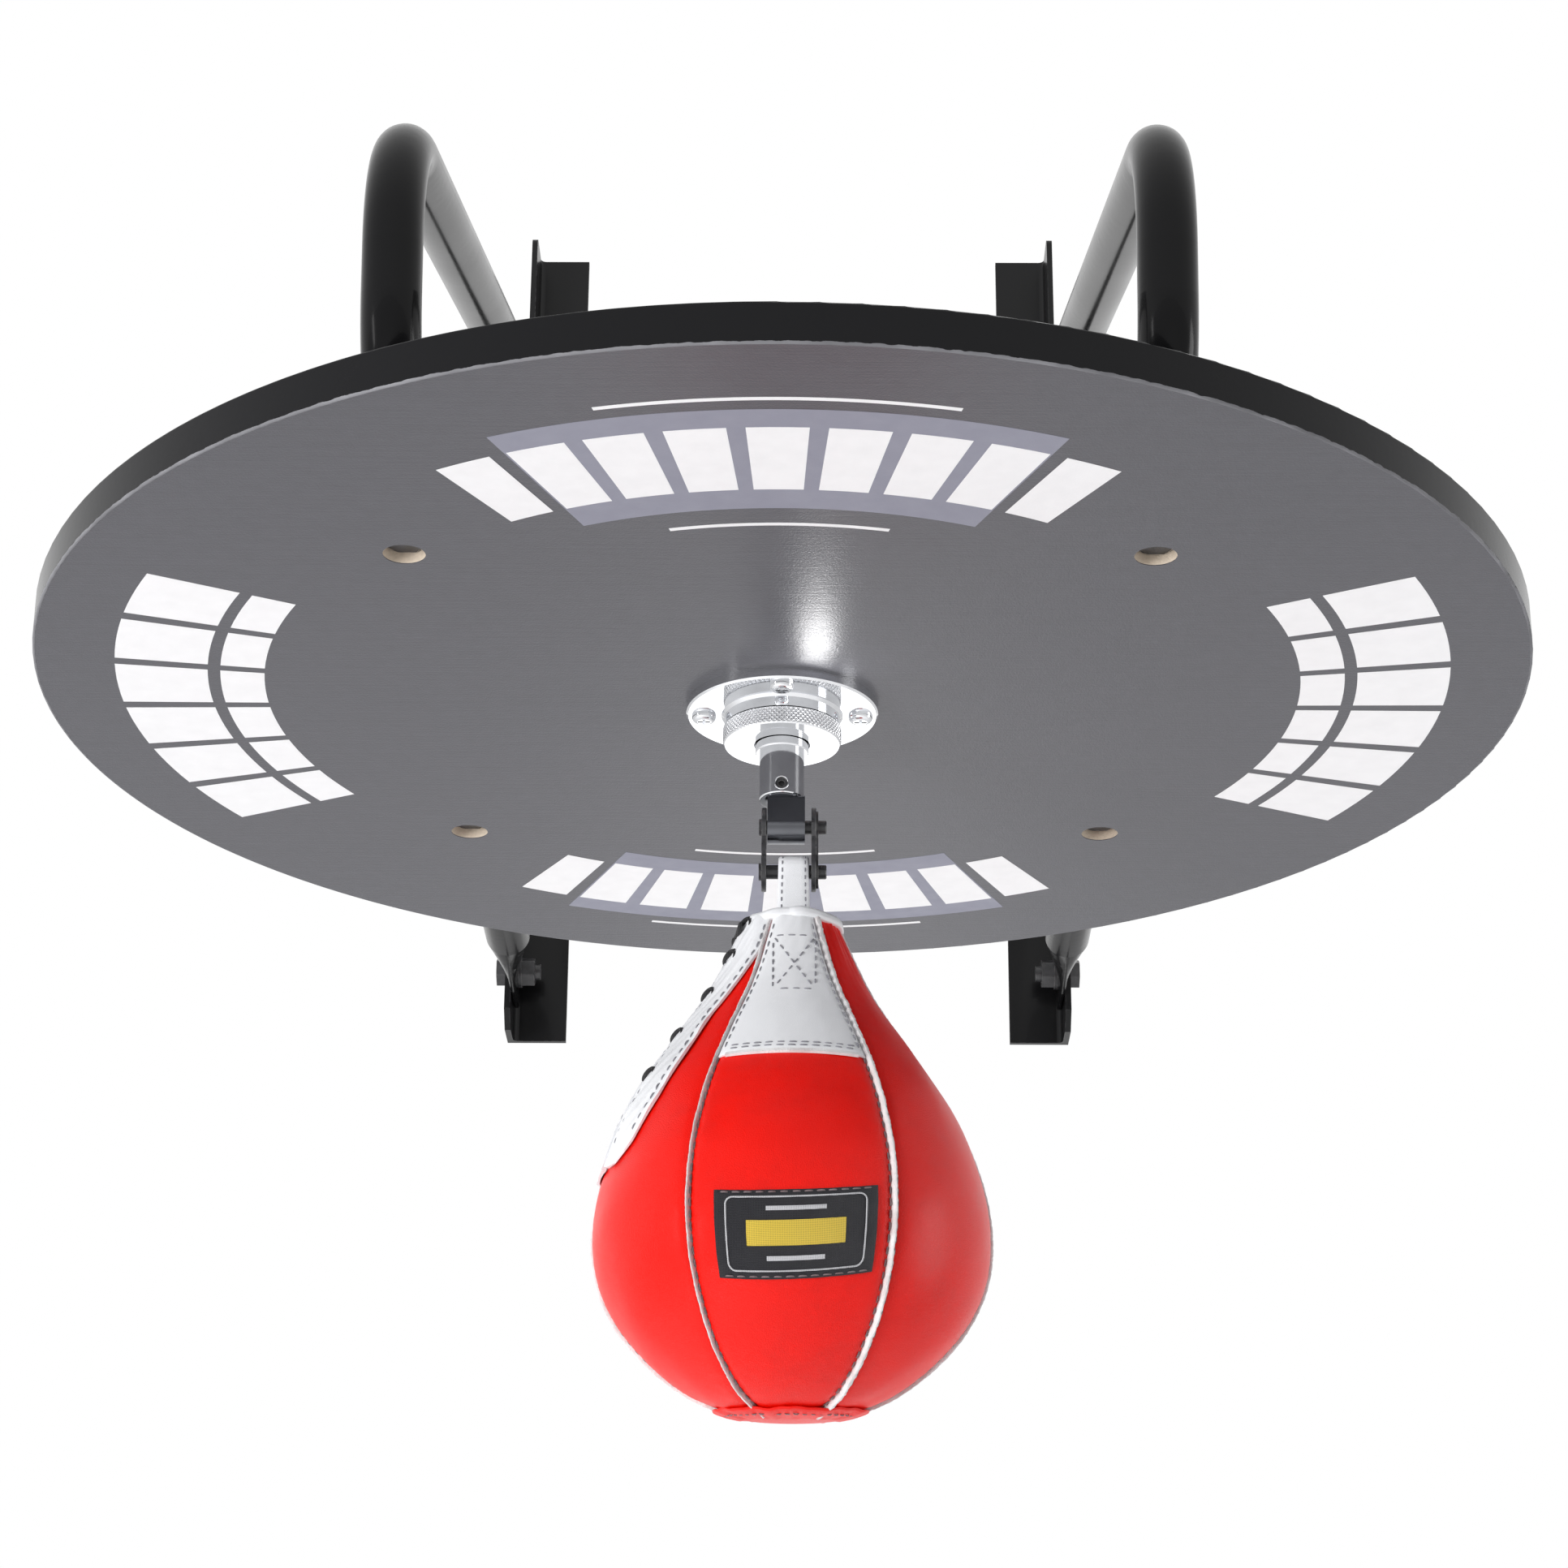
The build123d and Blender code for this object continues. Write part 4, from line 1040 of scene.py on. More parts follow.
    def seam_stitches(self) -> None:
        """A row of dark stitches along both sides of each seam."""
        width = 360 / self.case.panels
        pile = Pile()
        t = np.linspace(0.03, 0.985, 300)
        radius = self.case.profile(t)[0]
        for k in range(self.case.panels):
            reach = 0.0020 if k == 1 else 0.0013
            for side in (-1, 1):
                degrees = -width / 2 + k * width + np.degrees(side * reach / radius)
                self.stitches(pile, t, degrees, 0.0001)
        self.maker.piece("seam_stitches", pile.all_points(), pile.faces, Body.BAG, "welt_leather", DARK_THREAD)

    def yoke(self) -> None:
        """The white front patch under the collar, with its double hem and crossed box of stitches."""
        foot = self.case.fraction_at(-166.0)
        rows, columns = 70, 40
        u = np.linspace(0, 1, columns)
        t = np.linspace(0.0, 1.0, rows)[:, None] * (foot + 0.006 * np.sin(u * 9)[None] * 0.3)
        radius = self.case.profile(t)[0]
        half = 30 - np.degrees(0.0014 / radius)
        degrees = -half + 2 * half * u[None]
        wave = 0.00012 * ripple(t * 50, degrees * 0.3)
        self.add_sheet("yoke_leather", t, degrees, 0.0001, 0.0011, "white_leather", WHITE_LEATHER,
                       ["yoke_patch"], relief=wave, roll=0.35)
        hem = np.linspace(-25.5, 25.5, 60)
        raw = Pile()
        low_edge = np.full(60, foot)
        sections = [self.case.points(low_edge + dt, hem, rise) for dt, rise in
                    ((-0.002, 0.0001), (-0.002, 0.0013), (0.0035, 0.0012), (0.0045, 0.0002))]
        raw.tube(np.stack(sections, axis=1))
        self.maker.piece("yoke_raw_edge", raw.all_points(), raw.faces, Body.BAG, "welt_leather", WELT_LEATHER)
        pile = Pile()
        for back in (0.010, 0.0175):
            self.stitches(pile, np.full(60, foot - back), hem, 0.0013)
        top, bottom = self.case.fraction_at(-108.0), self.case.fraction_at(-135.0)
        left, right = -0.0075, 0.0085

        def line(t0: float, x0: float, t1: float, x1: float) -> None:
            """Sew from one corner of the box to another, given by fraction and sideways metres."""
            ts = np.linspace(t0, t1, 40)
            xs = np.linspace(x0, x1, 40)
            self.stitches(pile, ts, np.degrees(xs / self.case.profile(ts)[0]), 0.0013)

        corners = [(top, left), (top, right), (bottom, right), (bottom, left)]
        for (t0, x0), (t1, x1) in zip(corners, corners[1:] + corners[:1]):
            line(t0, x0, t1, x1)
        line(top, left, bottom, right)
        line(top, right, bottom, left)
        for side in (-1, 1):
            ts = np.linspace(0.02, foot - 0.01, 80)
            edge = side * (30 - np.degrees(0.0032 / self.case.profile(ts)[0]))
            self.stitches(pile, ts, edge, 0.0013)
        self.maker.piece("yoke_stitches", pile.all_points(), pile.faces, Body.BAG, "white_leather",
                         GREY_THREAD)

    def lacing(self) -> None:
        """The two white lacing flaps, the tongue between them and the crossed black laces."""
        foot = self.case.fraction_at(self.lacing_foot)
        rows, columns = 110, 26
        t = np.linspace(0.0, foot, rows)
        depth = t / foot
        levels = self.case.profile(t)[1] / MM
        front = np.interp(-levels, (96, 112, 120, 130, 142, 160, 179, 203),
                          (-29, -31, -35.5, -41, -46, -47.5, -50, -58))
        slit = np.full(rows, self.slit)
        back = -126.0 + 22.0 * depth**0.9
        cut = np.clip((depth - 0.93) / 0.07, 0, 1) ** 2
        flaps = {"front": (front - (front - slit) * cut * 0.45, slit + 1.6), "back": (slit - 1.6, back + 12 * cut)}
        for name, (high, low) in flaps.items():
            degrees = high[:, None] + (low - high)[:, None] * np.linspace(0, 1, columns)[None]
            grid_t = np.repeat(t[:, None], columns, axis=1)
            curl = 0.0009 * np.exp(-np.linspace(0, 1, columns)[None] / 0.18) if name == "back" else \
                0.0009 * np.exp(-np.linspace(1, 0, columns)[None] / 0.18)
            wave = 0.00025 * ripple(grid_t * 60, degrees * 0.4) + curl
            self.add_sheet(f"lacing_flap_{name}", grid_t, degrees, 0.0008, 0.0014, "white_leather",
                           WHITE_LEATHER, ["lacing_strip"] if name == "front" else (), relief=wave)
        tongue_deg = slit[:, None] + np.linspace(7, -7, 12)[None]
        self.add_sheet("lacing_tongue", np.repeat(t[:, None] * 0.985, 12, axis=1), tongue_deg, 0.0001, 0.0006,
                       "white_leather", WHITE_LEATHER)
        pile = Pile()
        for shift, line in ((-2.2, front), (2.0, slit + 1.6), (-2.0, slit - 1.6), (2.4, back)):
            ts = t[4:-8]
            self.stitches(pile, ts, (line + shift)[4:-8], 0.0024)
        self.maker.piece("lacing_stitches", pile.all_points(), pile.faces, Body.BAG, "white_leather",
                         GREY_THREAD)
        self.laces(slit, t)

    def laces(self, slit: np.ndarray, t: np.ndarray) -> None:
        """Black flat laces that cross the slit, each from one eyelet down to the next."""
        lace, eyelets = Pile(), Pile()
        for height in self.eyelets:
            place = self.case.fraction_at(height)
            middle_deg = float(np.interp(place, t, slit))
            radius = float(self.case.profile(np.array([place]))[0][0])
            reach = 0.0036
            s = np.linspace(-1, 1, 15)
            ts = np.clip(place - 0.0022 * s / 0.24, 0, 1)
            degrees = middle_deg + np.degrees(s * reach / radius)
            lift = 0.0026 + 0.0007 * (1 - s**2) - 0.0022 * np.abs(s) ** 6
            self.ribbon(lace, ts, degrees, lift, 0.0017, 0.00065)
            for side in (-1, 1):
                self.eyelet(eyelets, place, middle_deg + math.degrees(side * reach / radius))
        s = np.linspace(0, 1, 20)
        knot_deg = slit[2] + 9 * np.sin(s * 5)
        self.ribbon(lace, 0.018 + 0.022 * s, knot_deg, 0.0036 + 0.0008 * np.sin(s * 6), 0.0018, 0.0007)
        self.maker.piece("black_laces", lace.all_points(), lace.faces, Body.BAG, "lace_cord", LACE_BLACK,
                         ["laces"])
        self.maker.piece("lace_eyelets", eyelets.all_points(), eyelets.faces, Body.BAG, "lace_cord", LACE_BLACK)

    def ribbon(self, pile: Pile, t: np.ndarray, degrees: np.ndarray, lift: np.ndarray, half: float,
               thick: float) -> None:
        """Add a flat lace that follows a line over the case.

        Args:
            pile: collects the lace.
            t: fractions down the case.
            degrees: headings.
            lift: metres off the case.
            half: half of its width in metres.
            thick: half of its thickness in metres.
        """
        line = self.case.points(t, degrees, lift, seams=False)
        forward = unit(np.gradient(line, axis=0))
        heading = np.radians(degrees)
        out = np.stack([np.sin(heading), -np.cos(heading), 0 * heading], axis=-1)
        side = unit(np.cross(forward, out))
        up = np.cross(side, forward)
        turn = np.arange(10) * math.pi / 5
        rings = (line[:, None] + side[:, None] * (half * np.cos(turn))[None, :, None]
                 + up[:, None] * (thick * np.sin(turn))[None, :, None])
        pile.tube(rings)

    def eyelet(self, pile: Pile, t: float, degrees: float) -> None:
        """Add a punched eyelet's rim."""
        centre = self.case.points(np.array([t]), np.array([degrees]), 0.0024, seams=False)[0]
        heading = math.radians(degrees)
        out = np.array([math.sin(heading), -math.cos(heading), 0.0])
        side = np.array([math.cos(heading), math.sin(heading), 0.0])
        up = np.cross(out, side)
        around = np.arange(16) * math.tau / 16
        ring, tube = 0.0021, 0.0005
        rings = []
        for a in np.append(around, 0.0):
            spoke = side * math.cos(a) + up * math.sin(a)
            rings.append([centre + spoke * (ring + tube * math.cos(b)) + out * tube * math.sin(b)
                          for b in np.arange(8) * math.tau / 8])
        pile.tube(np.array(rings))

    @staticmethod
    def label_sag(across: np.ndarray) -> np.ndarray:
        """How far down the case the label's edges sit, from its left side to its right."""
        return 0.0105 * (0.5 - across) + 0.010 * (1 - (2 * across - 1) ** 2) - 0.004

    def label_place(self, across: np.ndarray, down: object) -> tuple[np.ndarray, np.ndarray]:
        """Where spots of the label lie on the case.

        Args:
            across: 0 at the label's left side to 1 at its right.
            down: 0 at its top to 1 at its bottom.

        Returns:
            Fractions of the way down the case, and headings in degrees.
        """
        top, bottom = (self.case.fraction_at(level) for level in self.label_levels)
        depth = top + (bottom - top) * down + self.label_sag(across)
        return depth, self.label_left + self.label_span * across + 0 * down

    def label(self) -> None:
        """The blank black woven label, its grey rule and its corner-to-corner stitching."""
        rows, columns = 30, 56
        u = np.linspace(0, 1, columns)[None]
        v = np.linspace(0, 1, rows)[:, None]
        wave = 0.00018 * ripple(u * 19 + v * 3, v * 7)
        self.add_sheet("label_patch", *self.label_place(u, v), 0.0001, 0.0009, "label_weave", LABEL_BLACK, ["woven_label"],
                       relief=wave, roll=0.5)
        rule = Pile()
        corner = 0.055
        path = []
        for cx, cy, start in ((1 - corner, corner * 2, -90), (1 - corner, 1 - corner * 2, 0),
                              (corner, 1 - corner * 2, 90), (corner, corner * 2, 180)):
            for a in np.linspace(start, start + 90, 8):
                path.append((cx + corner * math.cos(math.radians(a)),
                             cy + 2 * corner * math.sin(math.radians(a))))
        path.append(path[0])
        inset = [(0.075 + 0.85 * x, 0.09 + 0.82 * y) for x, y in path]
        dense = []
        for (x0, y0), (x1, y1) in zip(inset, inset[1:]):
            steps = max(2, int(30 * math.hypot(x1 - x0, y1 - y0)))
            dense += [(x0 + (x1 - x0) * s / steps, y0 + (y1 - y0) * s / steps) for s in range(steps)]
        us, vs = (np.array(axis) for axis in zip(*dense, dense[0]))
        self.ribbon(rule, *self.label_place(us, vs), np.full(len(us), 0.00118), 0.00032, 0.00018)
        self.maker.piece("label_rule", rule.all_points(), rule.faces, Body.BAG, "label_weave", LABEL_GREY)
        for name, finish, bars in (("label_bar", LABEL_GOLD, [(0.2, 0.8, 0.36, 0.64)]),
                                   ("label_lines", LABEL_GREY, [(0.32, 0.68, 0.2, 0.25), (0.32, 0.68, 0.75, 0.8)])):
            sewn = Pile()
            for u0, u1, v0, v1 in bars:
                across, deep = np.meshgrid(np.linspace(u0, u1, 24), np.linspace(v0, v1, 6))
                sewn.add(*self.sheet(*self.label_place(across, deep), 0.0009, 0.0004))
            self.maker.piece(name, sewn.all_points(), sewn.faces, Body.BAG, "label_weave", finish)
        sewn = Pile()
        for side in (0.03, 0.97):
            across = np.linspace(0.02, 0.98, 60)
            self.stitches(sewn, *self.label_place(across, side), 0.001, seams=False)
        self.maker.piece("label_stitches", sewn.all_points(), sewn.faces, Body.BAG, "label_weave", DARK_THREAD)

    def collar(self) -> None:
        """The folded white cuff round the neck, closed over the top."""
        top = self.case.profile(np.array([0.0]))[1][0]
        heights = top + np.array([-2.4, -2.0, -0.6, 1.0, 2.1, 2.6, 2.4, 1.5, 0.6, 0.4]) * MM
        radii = np.array([18.6, 19.7, 19.9, 19.5, 18.6, 17.4, 16.0, 15.0, 9.0, 2.0]) * MM
        around = 120
        turn = np.arange(around) * math.tau / around
        rows = np.interp(np.linspace(0, len(radii) - 1, 34), np.arange(len(radii)), radii)
        levels = np.interp(np.linspace(0, len(radii) - 1, 34), np.arange(len(radii)), heights)
        uneven = 0.0005 * ripple(turn * 5) * np.linspace(1, 0.6, 34)[:, None]
        radius = rows[:, None] + uneven * (rows[:, None] > 0.008)
        x = BAG_CENTRE[0] + radius * np.sin(turn)
        y = BAG_CENTRE[1] - radius * np.cos(turn)
        z = BOARD_UNDER + levels[:, None] + 0.0006 * ripple(turn * 3)[None] * (rows[:, None] > 0.012)
        sections = np.stack([x, y, z + 0 * x], axis=-1)
        pile = Pile()
        pile.tube(sections)
        self.maker.piece("neck_collar", pile.all_points(), pile.faces, Body.BAG, "white_leather",
                         WHITE_LEATHER, ["bag_collar"])

    def loop(self) -> None:
        """The hanging strap: folded leather over the lower pin, stitched along both edges."""
        pin = middle("link_pin_lower")
        low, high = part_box("bag_loop")
        centre_x = (low[0] + high[0]) / 2
        half_leg = (high[1] - low[1]) / 2 - 0.0012
        reach = high[2] - pin[2] - 0.0015
        foot = low[2] + 0.002
        s = np.linspace(0, 1, 24)
        front = [(-half_leg * (1 - a) - reach * a, foot + (pin[2] - 0.003 - foot) * a) for a in s]
        fold = [(-reach * math.cos(a), pin[2] + reach * math.sin(a)) for a in np.linspace(0.1, math.pi - 0.1, 24)]
        back = [(-y, z) for y, z in front[::-1]]
        path = np.array([(centre_x, pin[1] + y, z) for y, z in front + fold + back])
        forward = unit(np.gradient(path, axis=0))
        side = np.array([1.0, 0.0, 0.0])
        out = unit(np.cross(np.broadcast_to(side, forward.shape), forward))
        away = path - np.array([centre_x, pin[1], pin[2] - 0.012])
        out *= np.sign(np.sum(out * away, axis=-1, keepdims=True))
        lean = np.linspace(-1, 1, len(path))
        half = 0.0063 - 0.0003 * np.cos(lean * math.pi)
        thick = 0.0014
        outline = [(-1, -0.6), (-1, 0.6), (-0.9, 1.0), (-0.45, 1.12), (0, 1.16), (0.45, 1.12), (0.9, 1.0), (1, 0.6),
                   (1, -0.6), (0.9, -1.0), (0, -1.0), (-0.9, -1.0)]
        rings = np.stack([path + side * (half * a)[:, None] + out * thick * b for a, b in outline], axis=1)
        pile = Pile()
        pile.tube(rings)
        self.maker.piece("hanging_loop", pile.all_points(), pile.faces, Body.BAG, "white_leather",
                         WHITE_LEATHER, ["bag_loop"])
        sewn = Pile()
        for edge in (-0.74, 0.74):
            line = path + side * (half * edge)[:, None] + out * thick * 1.08
            self.straight_stitches(sewn, line, out)
        self.maker.piece("loop_stitches", sewn.all_points(), sewn.faces, Body.BAG, "white_leather", GREY_THREAD)

    def straight_stitches(self, pile: Pile, line: np.ndarray, out: np.ndarray) -> None:
        """Add stitches along a line in space.

        Args:
            pile: collects them.
            line: points along the line.
            out: the surface's outward direction at each point.
        """
        along = np.r_[0, np.cumsum(np.linalg.norm(np.diff(line, axis=0), axis=1))]
        length = 0.0022
        for start in np.arange(0.001, along[-1] - length, length + 0.0011):
            span = start + length * np.array([0.0, 0.2, 0.8, 1.0])
            centre = np.stack([np.interp(span, along, line[:, axis]) for axis in range(3)], axis=-1)
            up = unit(np.array([[np.interp(start, along, out[:, axis]) for axis in range(3)]]))[0]
            forward = unit(centre[-1:] - centre[:1])[0]
            side = np.cross(forward, up)
            turn = np.arange(6) * math.pi / 3
            size = self.thread * np.array([0.5, 0.9, 0.9, 0.5])
            sink = self.thread * np.array([-1.0, 0.2, 0.2, -1.0])
            rings = (centre[:, None] + up * sink[:, None, None]
                     + (np.cos(turn)[None, :, None] * side + np.sin(turn)[None, :, None] * up)
                     * size[:, None, None])
            pile.tube(rings)

    def bottom(self) -> None:
        """The round red patch under the bag, its cut edge and its ring of stitches."""
        low = BOARD_UNDER + self.case.profile(np.array([1.0]))[1][0]
        radii = np.array([0.5, 6, 12, 19, 24.0, 27.6, 29.0, 29.4, 28.6, 23.0, 8.0]) * MM
        heights = np.array([-2.2, -2.1, -1.8, -1.0, 0.1, 1.3, 2.0, 2.8, 3.1, 2.2, 0.2]) * MM
        around = 140
        turn = np.arange(around) * math.tau / around
        steps = np.linspace(0, len(radii) - 1, 44)
        radius = np.interp(steps, np.arange(len(radii)), radii)[:, None]
        level = np.interp(steps, np.arange(len(radii)), heights)[:, None]
        lobes = 1 + 0.02 * ripple(turn * 4 + 1)[None] * (radius > 0.02)
        buckle = 0.0005 * ripple(turn * 9)[None] * (radius > 0.018)
        x = BAG_CENTRE[0] + radius * lobes * np.sin(turn)
        y = BAG_CENTRE[1] - radius * lobes * np.cos(turn)
        sections = np.stack([x, y, low + level + buckle + 0.18 * (y - BAG_CENTRE[1])], axis=-1)
        pile = Pile()
        pile.tube(sections)
        self.maker.piece("bottom_leather", pile.all_points(), pile.faces, Body.BAG, "red_leather", RED_LEATHER,
                         ["bottom_patch"])
        sewn = Pile()
        round_turn = np.linspace(0, math.tau, 160)
        line = np.stack([BAG_CENTRE[0] + 0.025 * np.sin(round_turn), BAG_CENTRE[1] - 0.025 * np.cos(round_turn),
                         low + 0.0004 - 0.18 * 0.025 * np.cos(round_turn)], axis=-1)
        self.straight_stitches(sewn, line, np.tile([0.0, 0.0, -1.0], (160, 1)))
        self.maker.piece("bottom_stitches", sewn.all_points(), sewn.faces, Body.BAG, "red_leather", DARK_THREAD)


# ---- the board ---------------------------------------------------------------------------------


@dataclass
class Board:
    """The printed rebound board: plain blocks and bars where a maker would print."""

    maker: Maker
    film: float = 0.00006
    under: float = BOARD_UNDER

    def build(self) -> None:
        """Print the four groups and dress the board and its edge."""
        shop = self.maker.shop
        shop.coat(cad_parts["board"], BOARD_FACE)
        shop.coat(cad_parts["edge_band"], BOARD_EDGE)
        white, grey = Pile(), Pile()
        for turn in (0.0, 180.0):
            self.side_blocks(white, turn)
        for turn in (-90.0, 90.0):
            self.end_band(white, grey, turn)
        self.maker.piece("printed_blocks", white.all_points(), white.faces, Body.PLATFORM, "board_face", WHITE_INK,
                         smooth=False)
        self.maker.piece("printed_band", grey.all_points(), grey.faces, Body.PLATFORM, "board_face", GREY_INK,
                         smooth=False)

    def sector(self, pile: Pile, inner: float, outer: float, start: float, end: float, layer: int = 1) -> None:
        """Print a block of a ring.

        Args:
            pile: collects the print.
            inner: inside radius in metres.
            outer: outside radius in metres.
            start: first heading in degrees, from +X towards +Y.
            end: last heading.
            layer: how many films down from the board it lies.
        """
        steps = max(2, int(abs(end - start) / 1.5) + 1)
        turn = np.radians(np.linspace(start, end, steps))
        rings = []
        for a in turn:
            spoke = np.array([math.cos(a), math.sin(a)])
            corners = []
            for radius, level in ((inner, 0), (outer, 0), (outer, 1), (inner, 1)):
                flat = BOARD_CENTRE[:2] + spoke * radius
                corners.append((*flat, self.under - self.film * (layer - 1 + level)))
            rings.append(corners)
        pile.tube(np.array(rings))

    def side_blocks(self, pile: Pile, turn: float) -> None:
        """A fan of plain blocks, split by thin gaps, at one side of the board."""
        blocks = 6
        reach, gap = 28.0, 1.3
        step = 2 * reach / blocks
        for k in range(blocks):
            start = turn - reach + k * step + gap / 2
            self.sector(pile, 0.209, 0.2265, start, start + step - gap)
            self.sector(pile, 0.2315, 0.268, start, start + step - gap)

    def end_band(self, white: Pile, grey: Pile, turn: float) -> None:
        """A broad band of bars between two thin rules, over a grey field."""
        self.sector(grey, 0.179, 0.254, turn - 23.5, turn + 23.5)
        bars = 9
        reach = 31.0
        step = 2 * reach / bars
        for k in range(bars):
            start = turn - reach + k * step
            self.sector(white, 0.194, 0.241, start + 0.8, start + step - 0.8, layer=2)
        for radius in (0.165, 0.2605):
            self.sector(white, radius, radius + 0.0022, turn - 14.0, turn + 14.0)


# ---- swivel and chain --------------------------------------------------------------------------


@dataclass
class Swivel:
    """The chrome swivel and its knurled collar, and the blackened chain link."""

    maker: Maker
    ridges: int = 76
    depth: float = 0.0006

    def build(self) -> None:
        """Cut the knurl and dress the metal pieces."""
        finishes = {
            CHROME: ("swivel_flange", "flange_screws", "spindle", "spindle_sleeve"),
            BEARING_STEEL: ("bearing_outer_race", "bearing_inner_race", "bearing_balls", "bearing_cage",
                            "bearing_shields", "circlip", "pin_bush"),
            STRAP_CHROME: ("hook_strap",),
            CHAIN_BLACK: ("grub_screw", "link_plate_left", "link_plate_right", "link_pin_upper",
                          "link_pin_lower", "spring_clip"),
        }
        for finish, names in finishes.items():
            for name in names:
                self.maker.shop.coat(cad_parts[name], finish)
        self.knurl()
        self.weld()
        self.grub_rim()

    def knurl(self) -> None:
        """The collar with crossed diamond ridges round its rim."""
        low, high = (np.array(corner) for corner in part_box("knurled_collar"))
        centre = (low + high) / 2
        rim = (high[0] - low[0]) / 2
        tall = high[2] - low[2]
        hole = 0.0114
        around = self.ridges * 8
        turn = np.arange(around) * math.tau / around
        rise = np.linspace(0.12, 0.88, 30)
        phase = turn * self.ridges
        lean = rise[:, None] * tall / rim * self.ridges
        pattern = np.maximum(np.abs(np.sin((phase + lean) / 2)), np.abs(np.sin((phase - lean) / 2)))
        ridge = self.depth * (pattern**2 - 1)
        sections = [self.ring(centre, turn, rim - 0.0008, low[2])]
        sections.append(self.ring(centre, turn, rim - 0.0002, low[2] + 0.0006))
        sections += [self.ring(centre, turn, rim + row, low[2] + tall * h) for row, h in zip(ridge, rise)]
        sections.append(self.ring(centre, turn, rim - 0.0002, high[2] - 0.0006))
        sections.append(self.ring(centre, turn, rim - 0.0010, high[2]))
        sections.append(self.ring(centre, turn, 0.0202, high[2]))
        sections.append(self.ring(centre, turn, 0.0202, low[2] + 0.003))
        sections.append(self.ring(centre, turn, hole, low[2] + 0.003))
        sections.append(self.ring(centre, turn, hole, low[2]))
        net = np.array(sections)
        faces = [f[::-1] for f in grid_faces(len(net), around, closed=True)]
        last = (len(net) - 1) * around
        faces += [(last + j, last + (j + 1) % around, (j + 1) % around, j) for j in range(around)]
        self.maker.piece("knurled_ring", net.reshape(-1, 3), faces, Body.PLATFORM, "swivel_chrome", CHROME,
                         ["knurled_collar"])

    @staticmethod
    def ring(centre: np.ndarray, turn: np.ndarray, radius: object, height: float) -> np.ndarray:
        """A level ring of points about the swivel's axis."""
        return np.stack([centre[0] + radius * np.cos(turn), centre[1] + radius * np.sin(turn),
                         np.full(len(turn), height)], axis=-1)

    def weld(self) -> None:
        """The bead that joins the strap to the sleeve's lower end."""
        low, high = (np.array(corner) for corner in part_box("hook_strap"))
        sleeve = middle("spindle_sleeve")
        top = high[2]
        pile = Pile()
        for face, out in ((low[1], -1.0), (high[1], 1.0)):
            s = np.linspace(0, 1, 40)
            x = low[0] + 0.0012 + (high[0] - low[0] - 0.0024) * s
            reach = np.sqrt(np.maximum(0.0088**2 - (x - sleeve[0]) ** 2, 0))
            inside = reach > abs(face - sleeve[1]) - 0.001
            x = x[inside]
            size = 0.00075 * (1 + 0.3 * ripple(x * 5200))
            turn = np.arange(8) * math.tau / 8
            rings = [[(xi, face + out * r * math.cos(a) * 0.8, top + r * math.sin(a) * 0.7 - 0.0001) for a in turn]
                     for xi, r in zip(x, size)]
            pile.tube(np.array(rings))
        sleeve_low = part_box("spindle_sleeve")[0][2]
        turn = np.arange(48) * math.tau / 48
        pile.tube(np.array([self.ring(sleeve, turn, radius, sleeve_low + rise) for radius, rise in
                            ((0.0070, 0.0004), (0.0088, 0.0), (0.0087, -0.0004), (0.0078, -0.0008),
                             (0.0050, -0.0009))]))
        self.maker.piece("strap_weld", pile.all_points(), pile.faces, Body.SPINDLE, "strap_chrome",
                         STRAP_CHROME)

    def grub_rim(self) -> None:
        """The bright countersink round the grub screw's hole."""
        screw = middle("grub_screw")
        low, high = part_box("spindle_sleeve")
        centre = np.array([(low[0] + high[0]) / 2, (low[1] + high[1]) / 2])
        radius = (high[0] - low[0]) / 2
        pile = Pile()
        rings = []
        for a in np.linspace(0, math.tau, 33):
            x, z = 0.0027 * math.cos(a), 0.0027 * math.sin(a)
            surface = math.sqrt(radius**2 - x**2)
            spoke = np.array([math.cos(a), 0, math.sin(a)])
            base = np.array([centre[0] + x, centre[1] - surface, screw[2] + z])
            rings.append([base + spoke * 0.00028 * math.cos(b) + np.array([0, -1, 0]) * 0.00028 * math.sin(b)
                          for b in np.arange(8) * math.tau / 8])
        pile.tube(np.array(rings))
        self.maker.piece("grub_hole_rim", pile.all_points(), pile.faces, Body.SPINDLE, "swivel_chrome", CHROME)


@dataclass
class WallFrame:
    """The rails, tubes and fasteners, kept as the frame has them."""

    maker: Maker

    def build(self) -> None:
        """Dress the steel pieces."""
        finishes = {
            RAIL_PAINT: ("rail_left", "rail_right"),
            TUBE_PAINT: ("side_tube_left", "side_tube_right"),
            FASTENER_BLACK: ("rail_bolts", "rail_washers", "rail_nuts", "board_bolts", "counterbore_washers",
                             "board_washers", "board_nuts"),
            RUBBER: ("bladder_valve",),
        }
        for finish, names in finishes.items():
            for name in names:
                self.maker.shop.coat(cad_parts[name], finish)


# ---- studio ------------------------------------------------------------------------------------


